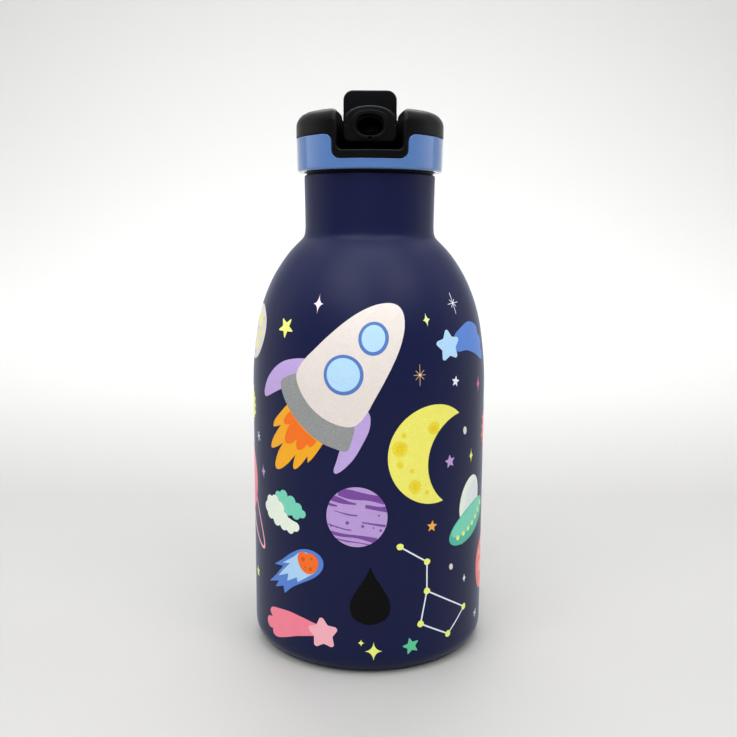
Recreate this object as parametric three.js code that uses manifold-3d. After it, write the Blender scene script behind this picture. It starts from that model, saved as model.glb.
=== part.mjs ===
// Kids water bottle: a double-walled steel bottle with a screw-in lid that carries a fold-down drinking spout, a thumb tab and a straw.
// Millimetres, +Z up. The origin is the centre of the circle that the base stands on; the front, where the spout's mouth points, is -Y.
import * as THREE from "three";
import { mergeVertices } from "three/addons/utils/BufferGeometryUtils.js";
import Module from "manifold-3d";

const wasm = await Module();
wasm.setup();

// ---- driving dimensions -------------------------------------------------
const SEG = 32; // sides of every large round piece, so that nested pieces keep an even gap
const BODY_R = 36.9; // outer radius of the straight body
const SHELL_T = 0.55; // steel wall
const NECK_R = 20.25; // outer radius of the neck
const RIM_Z = 147.1; // top of the neck
const FOOT_R0 = 29.4, FOOT_R1 = 31.2; // flat ring that the bottle stands on
const CAVITY_R = 33.0; // inside radius of the inner vessel
const CAVITY_FLOOR = 5.6; // inside floor
const NECK_BORE = 17.5; // inside radius of the neck between the thread ridges
const THREAD_PITCH = 3.5;
const FEMALE_CREST = 16.8, MALE_CREST = 16.6, PLUG_R = 15.6;
const THREAD_Z0 = 135.6, THREAD_Z1 = 145.6; // the zone that carries the ridges
const FLANGE_Z0 = 148.7, FLANGE_Z1 = 150.7; // the lid base's flange, above the rim gasket
const LID_R = 22.7; // outer radius of the lid
const COLLAR_Z0 = 147.9, COLLAR_Z1 = 157.9;
const COVER_Z0 = 151.3; // underside of the cover, on the flange
const COVER_TOP = 166.45;
const CHANNEL_W = 9.7, CHANNEL_REAR_W = 8.8; // half width of the channel at its front, and beside the thumb tab
const CHANNEL_FLOOR = 153.3;
const CHANNEL_BACK = 13.5; // Y of the pocket's back wall
const TROUGH_FLOOR = 162.8; // where the thumb tab lies when the spout is up
const AXIS_Y = 7.0, AXIS_Z = 161.0; // hinge axis of the spout, along X
const DRUM_R = 5.7, DRUM_W = 8.0;
const TAB_W = 8.3, TAB_TOP = 173.3, TAB_Y0 = 2.4, TAB_Y1 = 4.8;
const TRUNK_W = 6.5, TRUNK_UP = 4.6, TRUNK_DOWN = 4.2, TRUNK_END = -13.2;
const MOUTH_W = 8.0, MOUTH_Z0 = 155.7, MOUTH_Z1 = 166.4, MOUTH_Y0 = -17.2, MOUTH_Y1 = -4.6;
const HOLE_W = 3.9, HOLE_H = 3.0, INLET_R = 2.2;
const PIN_R = 1.25, PIN_X0 = 5.6, PIN_X1 = 12.4;
const STRAW_R = 3.8, STRAW_BORE = 3.1, NIPPLE_R = 2.8, STRAW_Z0 = 9.0, STRAW_Z1 = 147.0;

// ---- helpers ------------------------------------------------------------
function solid(geometry) {
  const g = geometry.index ? geometry.toNonIndexed() : geometry.clone();
  const only = new THREE.BufferGeometry().setAttribute("position", g.getAttribute("position"));
  const m = mergeVertices(only, 1e-4);
  return new wasm.Manifold(
    new wasm.Mesh({ numProp: 3, vertProperties: new Float32Array(m.attributes.position.array), triVerts: new Uint32Array(m.index.array) }),
  );
}
function geometryOf(manifold) {
  const m = manifold.getMesh(), n = m.numProp, v = new Float32Array(m.numVert * 3);
  for (let i = 0; i < m.numVert; i++) v.set(m.vertProperties.subarray(i * n, i * n + 3), i * 3);
  return new THREE.BufferGeometry()
    .setAttribute("position", new THREE.BufferAttribute(v, 3))
    .setIndex(new THREE.BufferAttribute(new Uint32Array(m.triVerts), 1));
}
function signedVolume(g) {
  const p = (g.index ? g.toNonIndexed() : g).getAttribute("position");
  let v = 0;
  const a = new THREE.Vector3(), b = new THREE.Vector3(), c = new THREE.Vector3();
  for (let i = 0; i < p.count; i += 3) {
    a.fromBufferAttribute(p, i); b.fromBufferAttribute(p, i + 1); c.fromBufferAttribute(p, i + 2);
    v += a.dot(b.cross(c)) / 6;
  }
  return v;
}
// A turned solid about Z from a profile of [radius, height]; bend(r, z, angle) may move a vertex's radius, as for a thread.
function turned(profile, segments = SEG, bend = null) {
  const make = (pts) => {
    const g = new THREE.LatheGeometry(pts.map(([r, z]) => new THREE.Vector2(r, z)), segments);
    g.rotateX(Math.PI / 2);
    if (bend) {
      const p = g.getAttribute("position");
      for (let i = 0; i < p.count; i++) {
        const x = p.getX(i), y = p.getY(i), z = p.getZ(i), r = Math.hypot(x, y);
        if (r < 1e-6) continue;
        const k = bend(r, z, Math.atan2(y, x)) / r;
        p.setXY(i, x * k, y * k);
      }
    }
    return g;
  };
  const g = make(profile);
  return solid(signedVolume(g) < 0 ? make([...profile].reverse()) : g);
}
const closed = (pts) => [...pts, pts[0]];
function box(x0, x1, y0, y1, z0, z1) {
  const g = new THREE.BoxGeometry(x1 - x0, y1 - y0, z1 - z0);
  g.translate((x0 + x1) / 2, (y0 + y1) / 2, (z0 + z1) / 2);
  return solid(g);
}
function rod(r, z0, z1, x = 0, y = 0, sides = 20) {
  const g = new THREE.CylinderGeometry(r, r, z1 - z0, sides);
  g.rotateX(Math.PI / 2);
  g.translate(x, y, (z0 + z1) / 2);
  return solid(g);
}
function rodX(r, x0, x1, y, z, sides = 20) {
  const g = new THREE.CylinderGeometry(r, r, x1 - x0, sides);
  g.rotateZ(Math.PI / 2);
  g.translate((x0 + x1) / 2, y, z);
  return solid(g);
}
// A shape drawn in X (right) and Z (up), pushed along Y from y0 to y1.
function alongY(shape, y0, y1, curveSegments = 6) {
  const g = new THREE.ExtrudeGeometry(shape, { depth: y1 - y0, bevelEnabled: false, curveSegments });
  g.rotateX(Math.PI / 2); // drawn y becomes z, depth becomes -y
  g.translate(0, y1, 0);
  return solid(g);
}
// A box outline with its own radius at the lower and the upper corners.
function rounded(x0, x1, z0, z1, low, high) {
  const s = new THREE.Shape();
  s.moveTo(x0 + low, z0);
  s.lineTo(x1 - low, z0);
  if (low) s.absarc(x1 - low, z0 + low, low, -Math.PI / 2, 0, false);
  s.lineTo(x1, z1 - high);
  if (high) s.absarc(x1 - high, z1 - high, high, 0, Math.PI / 2, false);
  s.lineTo(x0 + high, z1);
  if (high) s.absarc(x0 + high, z1 - high, high, Math.PI / 2, Math.PI, false);
  s.lineTo(x0, z0 + low);
  if (low) s.absarc(x0 + low, z0 + low, low, Math.PI, 1.5 * Math.PI, false);
  return s;
}
function ellipse(w, h, z) {
  const s = new THREE.Shape();
  s.absellipse(0, z, w, h, 0, 2 * Math.PI, false, 0);
  return s;
}
// The spout's outline seen from the front: a flat underside with rounded corners and an arched top.
function arch(w, z0, z1, low) {
  const s = new THREE.Shape(), spring = z0 + (z1 - z0) * 0.5;
  s.moveTo(-w + low, z0);
  s.lineTo(w - low, z0);
  s.absarc(w - low, z0 + low, low, -Math.PI / 2, 0, false);
  s.lineTo(w, spring);
  for (let i = 1; i < 12; i++) {
    const a = (Math.PI * i) / 12, c = Math.cos(a), n = Math.sin(a);
    s.lineTo(w * Math.sign(c) * Math.abs(c) ** 0.8, spring + (z1 - spring) * n ** 0.8);
  }
  s.lineTo(-w, spring);
  s.lineTo(-w, z0 + low);
  s.absarc(-w + low, z0 + low, low, Math.PI, 1.5 * Math.PI, false);
  return s;
}
// Moves a profile inwards by d, along its normals.
function inset(points, d) {
  return points.map((p, i) => {
    const a = points[Math.max(0, i - 1)], b = points[Math.min(points.length - 1, i + 1)];
    const tr = b[0] - a[0], tz = b[1] - a[1], l = Math.hypot(tr, tz);
    return [p[0] - (tz / l) * d, p[1] + (tr / l) * d];
  });
}
const material = (color, roughness, metalness = 0) => new THREE.MeshStandardMaterial({ color, roughness, metalness });
const navy = material(0x20264f, 0.55, 0.1);
const steel = material(0xb9bcc0, 0.32, 1.0);
const blue = material(0x6f9bd8, 0.22);
const black = material(0x151516, 0.5);
const soft = material(0x1b1b1c, 0.75);
const clear = material(0xe6ebee, 0.3);
const bead = material(0x6c6f73, 0.6, 0.4);

const bottle = new THREE.Group();
bottle.name = "kids_water_bottle";
function add(name, manifold, mat) {
  const mesh = new THREE.Mesh(geometryOf(manifold), mat);
  mesh.name = name;
  bottle.add(mesh);
  return mesh;
}

// ---- the bottle ---------------------------------------------------------
// Outer profile from the foot to the rim: corner, straight wall, domed shoulder, small hollow where the neck begins.
const corner = [];
for (let i = 0; i <= 4; i++) {
  const a = (i / 4) * (Math.PI / 2);
  corner.push([FOOT_R1 + (BODY_R - FOOT_R1) * Math.sin(a), 5.6 * (1 - Math.cos(a))]);
}
const shoulder = [
  [BODY_R, 82], [36.65, 90], [35.85, 97.5], [34.45, 105], [32.35, 111.5], [29.9, 116.7], [27.15, 121], [24.3, 124.6],
  [22.45, 126.4], [20.85, 128.0], [20.15, 129.7], [20.05, 131.6],
];
const outside = [...corner, ...shoulder, [NECK_R, 146.4], [19.75, RIM_Z]];
const shellInside = inset([...corner.slice(1), ...shoulder, [NECK_R, 145.8]], SHELL_T);
add(
  "outer_shell",
  turned(
    closed([
      [FOOT_R0, 0], ...outside, [18.95, RIM_Z], [18.95, RIM_Z - 0.6], ...shellInside.reverse(), [FOOT_R1 - 0.2, 0.6], [FOOT_R0 + 0.6, 0.6],
      [FOOT_R0 + 0.6, 1.7], [FOOT_R0, 1.7],
    ]),
  ),
  navy,
);

// The inner vessel: a bare steel cup whose neck carries the ridges that the lid screws into.
const ridge = (t) => {
  const u = t - Math.floor(t); // 0..1 along one pitch
  return u < 0.18 ? u / 0.18 : u < 0.34 ? 1 : u < 0.52 ? (0.52 - u) / 0.18 : 0;
};
const fade = (z) => Math.max(0, Math.min(1, (z - THREAD_Z0 - 0.1) / 1.2, (THREAD_Z1 - 0.1 - z) / 1.2));
const threadRows = [];
for (let z = THREAD_Z0; z < THREAD_Z1 - 1e-6; z += THREAD_PITCH / 5) threadRows.push(z);
threadRows.push(THREAD_Z1);
const cup = [
  [0, CAVITY_FLOOR], [26.5, CAVITY_FLOOR], [30.8, 7.0], [CAVITY_R, 12.2], [CAVITY_R, 82], [32.4, 92.5],
  [30.9, 100], [27.9, 108.6], [23.7, 116], [19.6, 121.8], [17.6, 125.6], [17.2, 129], [17.2, 134.2],
];
add(
  "inner_vessel",
  turned(
    [
      ...cup,
      ...threadRows.map((z) => [NECK_BORE, z]),
      [NECK_BORE, 146.6], [17.7, 147.0], [18.45, 147.0], [18.45, 146.5], [18.1, 146.2],
      [18.05, 134.8],
      ...inset(cup, -0.5).slice(1, -1).reverse().map(([r, z]) => [r, z]),
      [0, CAVITY_FLOOR - 0.5],
    ],
    SEG,
    (r, z, angle) =>
      Math.abs(r - NECK_BORE) < 0.02 && z >= THREAD_Z0 - 1e-3 && z <= THREAD_Z1 + 1e-3
        ? r - (NECK_BORE - FEMALE_CREST) * fade(z) * ridge(z / THREAD_PITCH - angle / (2 * Math.PI) + 0.5)
        : r,
  ),
  steel,
);

// The dished plate that closes the outer shell underneath, with the evacuation hole at its middle.
add(
  "base_plate",
  turned(
    closed([
      [1.3, 2.2], [7, 2.2], [9.5, 1.8], [25.5, 1.7], [27.0, 1.1], [29.1, 1.1], [29.1, 2.9], [28.5, 2.9], [28.5, 1.75], [27.2, 1.75], [25.6, 2.3],
      [9.6, 2.4], [7.1, 2.8], [1.3, 2.8],
    ]),
  ),
  steel,
);
add("vacuum_seal_bead", turned([[0, 1.05], [1.6, 1.12], [2.4, 1.4], [2.6, 1.9], [1.0, 1.9], [0.9, 2.7], [0, 2.7]], 16), bead);
add("getter_tablet", rod(4.0, 2.95, 4.6, 14, 0, 16), bead);

// ---- the lid ------------------------------------------------------------
// Outline of the black tongue that drops through the collar's front notch.
// Its sides sweep outwards under the cover, so the notch has rounded shoulders.
function tongue(gap) {
  const w = 11.0 + gap, low = 2.2 + gap, foot = 151.0 - gap, top = COLLAR_Z1 + 0.3 - gap, flare = 2.6 - gap, s = new THREE.Shape();
  s.moveTo(-w + low, foot);
  s.lineTo(w - low, foot);
  s.absarc(w - low, foot + low, low, -Math.PI / 2, 0, false);
  s.lineTo(w, top - flare);
  s.absarc(w + flare, top - flare, flare, Math.PI, Math.PI / 2, true);
  s.lineTo(w + flare, top + 1);
  s.lineTo(-w - flare, top + 1);
  s.lineTo(-w - flare, top);
  s.absarc(-w - flare, top - flare, flare, Math.PI / 2, 0, true);
  s.lineTo(-w, foot + low);
  s.absarc(-w + low, foot + low, low, Math.PI, 1.5 * Math.PI, false);
  return s;
}
add(
  "collar_ring",
  turned(
    closed([
      [20.4, COLLAR_Z0], [21.6, COLLAR_Z0], [22.3, COLLAR_Z0 + 0.7], [LID_R - 0.03, COLLAR_Z1],
      [20.4, COLLAR_Z1],
    ]),
  ).subtract(alongY(tongue(0.3), -30, 0)),
  blue,
);

const coverOutside = turned([
  [0, COVER_Z0], [20.05, COVER_Z0], [20.05, 158.2], [LID_R, 158.2], [LID_R, 162.0], [22.45, 163.4],
  [21.5, 164.6], [19.9, 165.35], [14.5, 165.95], [0, COVER_TOP],
]);
const tongueSolid = alongY(tongue(0), -30, -10).intersect(turned(closed([[19.5, 150.9], [22.55, 150.9], [22.6, 158.4], [19.5, 158.4]])));
const hollow = turned([[0, 150], [18.2, 150], [18.2, 158.8], [20.3, 159.6], [20.3, 162.2], [18.4, 163.5], [0, 164.3]]);
const walls = box(-CHANNEL_W - 1.9, CHANNEL_W + 1.9, -30, CHANNEL_BACK + 1.8, 149, 170).add(box(-CHANNEL_W - 1.9, CHANNEL_W + 1.9, 13, 30, TROUGH_FLOOR - 1.8, 170));
// The channel narrows from its open front to the width of the thumb tab.
const taper = (() => {
  const s = new THREE.Shape([
    [-CHANNEL_W, -30], [CHANNEL_W, -30], [CHANNEL_W, -17], [CHANNEL_REAR_W, 0], [CHANNEL_REAR_W, 30], [-CHANNEL_REAR_W, 30], [-CHANNEL_REAR_W, 0], [-CHANNEL_W, -17],
  ].map(([x, y]) => new THREE.Vector2(x, y)));
  const g = new THREE.ExtrudeGeometry(s, { depth: 30, bevelEnabled: false });
  g.translate(0, 0, 145);
  return solid(g);
})();
const channel = alongY(rounded(-CHANNEL_W, CHANNEL_W, CHANNEL_FLOOR, 172, 1.5, 0), -30, CHANNEL_BACK).intersect(taper);
const trough = alongY(rounded(-CHANNEL_REAR_W, CHANNEL_REAR_W, TROUGH_FLOOR, 172, 0.8, 0), CHANNEL_BACK - 1, 30);
add(
  "lid_cover",
  coverOutside
    .add(tongueSolid)
    .subtract(hollow.subtract(walls))
    .subtract(channel)
    .subtract(trough)
    .subtract(rod(4.1, 149, 160, 0, AXIS_Y, 20))
    .subtract(rod(1.1, 149, 160, 0, -6, 12))
    .subtract(rodX(PIN_R + 0.3, -12.7, 12.7, AXIS_Y, AXIS_Z, 16)),
  black,
);

// The lid base: flange, deck and the threaded skirt that screws into the neck, with the nipple that the straw plugs onto.
const skirt = turned(
  closed([
    [0, FLANGE_Z0 - 0.5], [13.5, FLANGE_Z0 - 0.5], [13.5, 131.0], [13.9, 130.6], [15.2, 130.6], [15.4, 131.2], [14.75, 131.3], [14.75, 134.0], [PLUG_R, 134.1],
    ...threadRows.map((z) => [PLUG_R, z]),
    [PLUG_R, FLANGE_Z0], [20.0, FLANGE_Z0], [20.1, FLANGE_Z0 + 0.2], [20.1, FLANGE_Z1], [0, FLANGE_Z1],
  ]),
  SEG,
  (r, z, angle) =>
    Math.abs(r - PLUG_R) < 0.02 && z >= THREAD_Z0 - 1e-3 && z <= THREAD_Z1 + 1e-3
      ? r + (MALE_CREST - PLUG_R) * fade(z) * ridge(z / THREAD_PITCH - angle / (2 * Math.PI))
      : r,
);
add(
  "lid_base",
  skirt
    .add(rod(NIPPLE_R, 138.5, FLANGE_Z0, 0, AXIS_Y, 16))
    .add(rod(4.9, 147.6, FLANGE_Z0, 0, AXIS_Y, 20))
    .subtract(rod(2.05, 130, 155, 0, AXIS_Y, 16))
    .subtract(rod(1.9, 146, 155, 0, -6, 16)),
  black,
);
add("rim_gasket", turned(closed([[16.9, 147.38], [19.6, 147.38], [19.6, 148.42], [16.9, 148.42]])), soft);
add("plug_seal", turned(closed([[15.05, 131.65], [15.8, 131.65], [16.4, 132.6], [15.8, 133.6], [15.05, 133.6]])), soft);
// The drum of the spout turns against the saddle on top of the port seal.
add(
  "port_seal",
  rod(3.7, 151.0, 157.0, 0, AXIS_Y, 20)
    .subtract(rod(2.3, 150, 158, 0, AXIS_Y, 16))
    .subtract(rodX(DRUM_R + 0.3, -12, 12, AXIS_Y, AXIS_Z, 32)),
  soft,
);
// The air valve: a flanged stem through the deck that ends in a flat bill.
const bill = new THREE.Shape();
bill.moveTo(-1.6, 148.2); bill.lineTo(-0.45, 144.6); bill.lineTo(0.45, 144.6); bill.lineTo(1.6, 148.2);
const billSolid = (() => {
  const g = new THREE.ExtrudeGeometry(bill, { depth: 3.0, bevelEnabled: false });
  g.rotateX(Math.PI / 2);
  g.translate(0, -6 + 1.5, 0);
  return solid(g);
})();
add("vent_valve", rod(1.6, 147.0, 151.0, 0, -6, 16).add(rod(2.6, 150.95, 151.2, 0, -6, 16)).add(billSolid).subtract(rod(0.8, 148, 152, 0, -6, 12)), soft);
// The straw, cut at a slant where it stands over the floor of the vessel.
const slant = (() => {
  const g = new THREE.BoxGeometry(20, 20, 10);
  g.translate(0, 0, -5);
  g.rotateX(0.55);
  g.translate(0, AXIS_Y, STRAW_Z0 + 2.4);
  return solid(g);
})();
add("straw", rod(STRAW_R, STRAW_Z0, STRAW_Z1, 0, AXIS_Y, 16).subtract(rod(STRAW_BORE, 0, 160, 0, AXIS_Y, 16)).subtract(slant), clear);

// ---- the spout ----------------------------------------------------------
// The duct narrows from the oval mouth to the round inlet on the drum's back, which turns down over the port when the spout is up.
const ductCurve = (() => {
  const rings = [[MOUTH_Y0 - 2, HOLE_W, HOLE_H], [-9, HOLE_W - 0.3, HOLE_H - 0.1], [1, INLET_R + 0.2, INLET_R + 0.1], [4, INLET_R, INLET_R], [AXIS_Y + DRUM_R + 2, INLET_R, INLET_R]];
  const n = 16, pos = [], idx = [];
  rings.forEach(([y, w, h]) => {
    for (let i = 0; i < n; i++) {
      const a = (i / n) * 2 * Math.PI;
      pos.push(w * Math.cos(a), y, AXIS_Z + h * Math.sin(a));
    }
  });
  for (let k = 0; k + 1 < rings.length; k++)
    for (let i = 0; i < n; i++) {
      const a = k * n + i, b = k * n + ((i + 1) % n), c = a + n, d = b + n;
      idx.push(a, b, d, a, d, c);
    }
  for (let i = 1; i + 1 < n; i++) idx.push(0, i + 1, i);
  const l = (rings.length - 1) * n;
  for (let i = 1; i + 1 < n; i++) idx.push(l, l + i, l + i + 1);
  const g = new THREE.BufferGeometry().setAttribute("position", new THREE.BufferAttribute(new Float32Array(pos), 3)).setIndex(idx);
  if (signedVolume(g) < 0) {
    for (let i = 0; i < idx.length; i += 3) [idx[i + 1], idx[i + 2]] = [idx[i + 2], idx[i + 1]];
    g.setIndex(idx);
  }
  return solid(g);
})();
const trunk = alongY(arch(TRUNK_W, AXIS_Z - TRUNK_DOWN, AXIS_Z + TRUNK_UP, 1.6), TRUNK_END, AXIS_Y);
const tab = alongY(rounded(-TAB_W, TAB_W, AXIS_Z + 2.5, TAB_TOP, 0, 3.0), TAB_Y0, TAB_Y1);
add(
  "flip_spout",
  rodX(DRUM_R, -DRUM_W, DRUM_W, AXIS_Y, AXIS_Z, 28)
    .add(trunk)
    .add(tab)
    .subtract(ductCurve)
    .subtract(rodX(PIN_R + 0.3, PIN_X0 - 0.5, 20, AXIS_Y, AXIS_Z, 16))
    .subtract(rodX(PIN_R + 0.3, -20, -PIN_X0 + 0.5, AXIS_Y, AXIS_Z, 16)),
  black,
);
const sleeve = alongY(arch(TRUNK_W + 0.3, AXIS_Z - TRUNK_DOWN - 0.3, AXIS_Z + TRUNK_UP + 0.3, 1.8), TRUNK_END - 0.3, 0);
add(
  "mouthpiece",
  alongY(arch(MOUTH_W, MOUTH_Z0, MOUTH_Z1, 2.0), MOUTH_Y0, MOUTH_Y1)
    .subtract(sleeve)
    .subtract(ductCurve)
    .subtract((() => { const g = new THREE.CylinderGeometry(0.5, 0.5, 3, 8); g.translate(0, MOUTH_Y0, 156.9); return solid(g); })()),
  soft,
);
add("hinge_pin_left", rodX(PIN_R, -PIN_X1, -PIN_X0, AXIS_Y, AXIS_Z, 16), steel);
add("hinge_pin_right", rodX(PIN_R, PIN_X0, PIN_X1, AXIS_Y, AXIS_Z, 16), steel);

export default bottle;
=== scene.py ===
# Kids water bottle: the looks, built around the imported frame. Lengths below are in millimetres unless a name says otherwise.
import bpy, math
import numpy as np
from mathutils import Matrix, Vector
from mathutils.geometry import delaunay_2d_cdt


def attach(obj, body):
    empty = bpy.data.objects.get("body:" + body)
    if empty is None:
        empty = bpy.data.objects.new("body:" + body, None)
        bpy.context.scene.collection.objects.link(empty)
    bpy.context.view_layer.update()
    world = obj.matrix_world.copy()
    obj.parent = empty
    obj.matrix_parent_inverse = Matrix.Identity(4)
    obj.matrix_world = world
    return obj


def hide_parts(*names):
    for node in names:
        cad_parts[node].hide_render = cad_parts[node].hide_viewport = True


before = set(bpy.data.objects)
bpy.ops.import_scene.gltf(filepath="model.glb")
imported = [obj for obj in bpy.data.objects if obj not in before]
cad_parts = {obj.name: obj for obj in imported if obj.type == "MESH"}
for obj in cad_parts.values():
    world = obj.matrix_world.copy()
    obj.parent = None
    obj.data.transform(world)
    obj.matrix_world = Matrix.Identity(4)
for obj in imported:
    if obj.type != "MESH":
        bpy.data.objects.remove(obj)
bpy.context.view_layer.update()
MM = 0.001
scene = bpy.context.scene

# ---------------------------------------------------------------- camera
cam_data = bpy.data.cameras.new("camera")
cam_data.sensor_fit = "HORIZONTAL"
cam_data.sensor_width = 36.0
cam_data.lens = 915.2 / 737.0 * 36.0
cam_data.clip_start, cam_data.clip_end = 0.01, 20.0
camera = bpy.data.objects.new("camera", cam_data)
scene.collection.objects.link(camera)
camera.matrix_world = Matrix.Translation(Vector((-0.11, -290.5, 130.1)) * MM) @ Matrix.Rotation(math.radians(90 - 8.54), 4, "X") @ Matrix.Rotation(0.0047, 4, "Z")
scene.camera = camera

# ---------------------------------------------------------------- materials
def srgb(r, g, b):
    return tuple((c / 255 / 12.92) if c / 255 <= 0.04045 else ((c / 255 + 0.055) / 1.055) ** 2.4 for c in (r, g, b)) + (1.0,)


class Mat:
    """A principled material whose colour, roughness and bump come from noise in the object's own millimetres."""

    def __init__(self, name, **sockets):
        self.m = bpy.data.materials.new(name)
        self.m.use_nodes = True
        self.t = self.m.node_tree
        self.b = self.t.nodes["Principled BSDF"]
        for k, v in sockets.items():
            self.b.inputs[k.replace("_", " ")].default_value = v
        self.coord = self.t.nodes.new("ShaderNodeTexCoord")

    def node(self, kind, **props):
        n = self.t.nodes.new(kind)
        for k, v in props.items():
            setattr(n, k, v)
        return n

    def link(self, a, b):
        self.t.links.new(a, b)

    def mapped(self, scale=(1, 1, 1)):
        n = self.node("ShaderNodeMapping")
        n.inputs["Scale"].default_value = [1000.0 * s for s in scale]
        self.link(self.coord.outputs["Object"], n.inputs["Vector"])
        return n.outputs["Vector"]

    def noise(self, size_mm, detail=2.0, rough=0.5, scale=(1, 1, 1)):
        n = self.node("ShaderNodeTexNoise")
        n.inputs["Scale"].default_value = 1.0 / size_mm
        n.inputs["Detail"].default_value = detail
        n.inputs["Roughness"].default_value = rough
        self.link(self.mapped(scale), n.inputs["Vector"])
        return n.outputs["Fac"]

    def ramp(self, fac, stops, interp="LINEAR"):
        n = self.node("ShaderNodeValToRGB")
        n.color_ramp.interpolation = interp
        e = n.color_ramp.elements
        while len(e) < len(stops):
            e.new(0.5)
        for el, (p, c) in zip(e, stops):
            el.position = p
            el.color = c if len(c) == 4 else (*c, 1.0)
        self.link(fac, n.inputs["Fac"])
        return n.outputs["Color"]

    def mix(self, fac, a, b, blend="MIX"):
        n = self.node("ShaderNodeMix", data_type="RGBA", blend_type=blend)
        for sock, v in ((n.inputs[0], fac), (n.inputs[6], a), (n.inputs[7], b)):
            if hasattr(v, "links"):
                self.link(v, sock)
            else:
                sock.default_value = v
        return n.outputs[2]

    def map_range(self, value, a, b, c, d):
        n = self.node("ShaderNodeMapRange")
        self.link(value, n.inputs["Value"])
        for i, v in zip(("From Min", "From Max", "To Min", "To Max"), (a, b, c, d)):
            n.inputs[i].default_value = v
        return n.outputs["Result"]

    def math(self, op, a, b=None):
        n = self.node("ShaderNodeMath", operation=op)
        for sock, v in zip(n.inputs, (a, b)):
            if v is None:
                continue
            if hasattr(v, "links"):
                self.link(v, sock)
            else:
                sock.default_value = v
        return n.outputs[0]

    def color(self, out):
        self.link(out, self.b.inputs["Base Color"])

    def rough(self, out):
        self.link(out, self.b.inputs["Roughness"])

    def bump(self, height, strength, distance_mm):
        n = self.node("ShaderNodeBump")
        n.inputs["Strength"].default_value = strength
        n.inputs["Distance"].default_value = distance_mm * MM
        self.link(height, n.inputs["Height"])
        prev = self.b.inputs["Normal"].links
        if prev:
            self.link(prev[0].from_socket, n.inputs["Normal"])
        self.link(n.outputs["Normal"], self.b.inputs["Normal"])


def tint(c, k):
    return tuple(min(1.0, v * k) for v in c[:3]) + (1.0,)


def coat_material():
    m = Mat("navy_powder_coat", Roughness=0.46, IOR=1.5, Specular_IOR_Level=0.18, Sheen_Weight=0.26, Sheen_Roughness=0.28, Sheen_Tint=(0.72, 0.82, 1.0, 1.0))
    c = srgb(14, 20, 59)
    fine, broad, speck = m.noise(0.16, 2.5, 0.6), m.noise(9.0, 2.0), m.noise(0.33, 1.0)
    base = m.ramp(fine, [(0.3, tint(c, 0.86)), (0.7, tint(c, 1.16))])
    base = m.mix(m.map_range(broad, 0.3, 0.7, 0.0, 0.5), base, tint(c, 1.08))
    base = m.mix(m.map_range(speck, 0.68, 0.76, 0.0, 0.35), base, tint(c, 1.9))
    m.color(base)
    m.rough(m.map_range(fine, 0.25, 0.75, 0.38, 0.5))
    m.bump(fine, 0.35, 0.03)
    m.bump(m.noise(0.7, 2.0), 0.25, 0.05)
    return m.m


def ink_material(name, rgb, gloss=0.42, grain=0.10):
    m = Mat("ink_" + name, Roughness=gloss, IOR=1.5, Specular_IOR_Level=0.2, Sheen_Weight=0.12, Sheen_Roughness=0.3)
    c = srgb(*rgb)
    fine, broad, pin = m.noise(0.38, 2.5, 0.6), m.noise(2.6, 3.0), m.noise(0.5, 1.0)
    base = m.ramp(fine, [(0.3, tint(c, 1 - grain)), (0.7, tint(c, 1 + grain))])
    base = m.mix(m.map_range(broad, 0.35, 0.75, 0.0, 0.55), base, tint(c, 0.93))
    base = m.mix(m.map_range(pin, 0.72, 0.80, 0.0, 0.4), base, tint(c, 0.62))
    m.color(base)
    m.rough(m.map_range(fine, 0.25, 0.75, gloss - 0.06, gloss + 0.07))
    m.bump(fine, 0.3, 0.025)
    m.bump(m.noise(0.7, 2.0), 0.2, 0.05)
    return m.m


def plastic(name, rgb, rough, spread, grain_mm, depth, tone=0.06, **extra):
    m = Mat(name, Roughness=rough, IOR=1.49, **extra)
    c = srgb(*rgb)
    fine, broad = m.noise(grain_mm, 3.0, 0.6), m.noise(6.0, 3.0, 0.55)
    base = m.ramp(broad, [(0.3, tint(c, 1 - tone)), (0.7, tint(c, 1 + tone))])
    base = m.mix(m.map_range(fine, 0.3, 0.7, 0.0, 0.25), base, tint(c, 1 + 2 * tone))
    m.color(base)
    scuff = m.noise(3.5, 4.0, 0.65, scale=(1, 1, 3))
    m.rough(m.math("ADD", m.map_range(fine, 0.25, 0.75, rough - spread, rough + spread), m.map_range(scuff, 0.5, 0.8, 0.0, spread)))
    m.bump(fine, 0.3, depth)
    return m.m


def steel_material(name, rgb=(196, 198, 200), rough=0.3, along="z", line_mm=0.09):
    """Turned steel: fine rings round the axis, from noise stretched round the part."""
    m = Mat(name, Metallic=1.0, Roughness=rough)
    sep = m.node("ShaderNodeSeparateXYZ")
    m.link(m.coord.outputs["Object"], sep.inputs[0])
    xx = m.math("MULTIPLY", sep.outputs[0], sep.outputs[0])
    yy = m.math("MULTIPLY", sep.outputs[1], sep.outputs[1])
    radius = m.math("SQRT", m.math("ADD", xx, yy))
    comb = m.node("ShaderNodeCombineXYZ")
    m.link(m.math("MULTIPLY", radius, 1000.0), comb.inputs[0])
    m.link(m.math("MULTIPLY", sep.outputs[2], 1000.0), comb.inputs[1])
    def lines(size, detail):
        n = m.node("ShaderNodeTexNoise")
        n.inputs["Scale"].default_value = 1.0 / size
        n.inputs["Detail"].default_value = detail
        m.link(comb.outputs[0], n.inputs["Vector"])
        return n.outputs["Fac"]
    fine, wide = lines(line_mm, 3.0), lines(2.2, 2.0)
    cloud = m.noise(12.0, 3.0)
    c = srgb(*rgb)
    base = m.ramp(fine, [(0.3, tint(c, 0.9)), (0.7, tint(c, 1.05))])
    base = m.mix(m.map_range(cloud, 0.35, 0.7, 0.0, 0.4), base, tint(c, 0.86))
    m.color(base)
    m.rough(m.math("ADD", m.map_range(fine, 0.3, 0.7, rough - 0.07, rough + 0.07), m.map_range(wide, 0.4, 0.7, -0.02, 0.05)))
    m.bump(fine, 0.35, 0.012)
    return m.m


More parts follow.
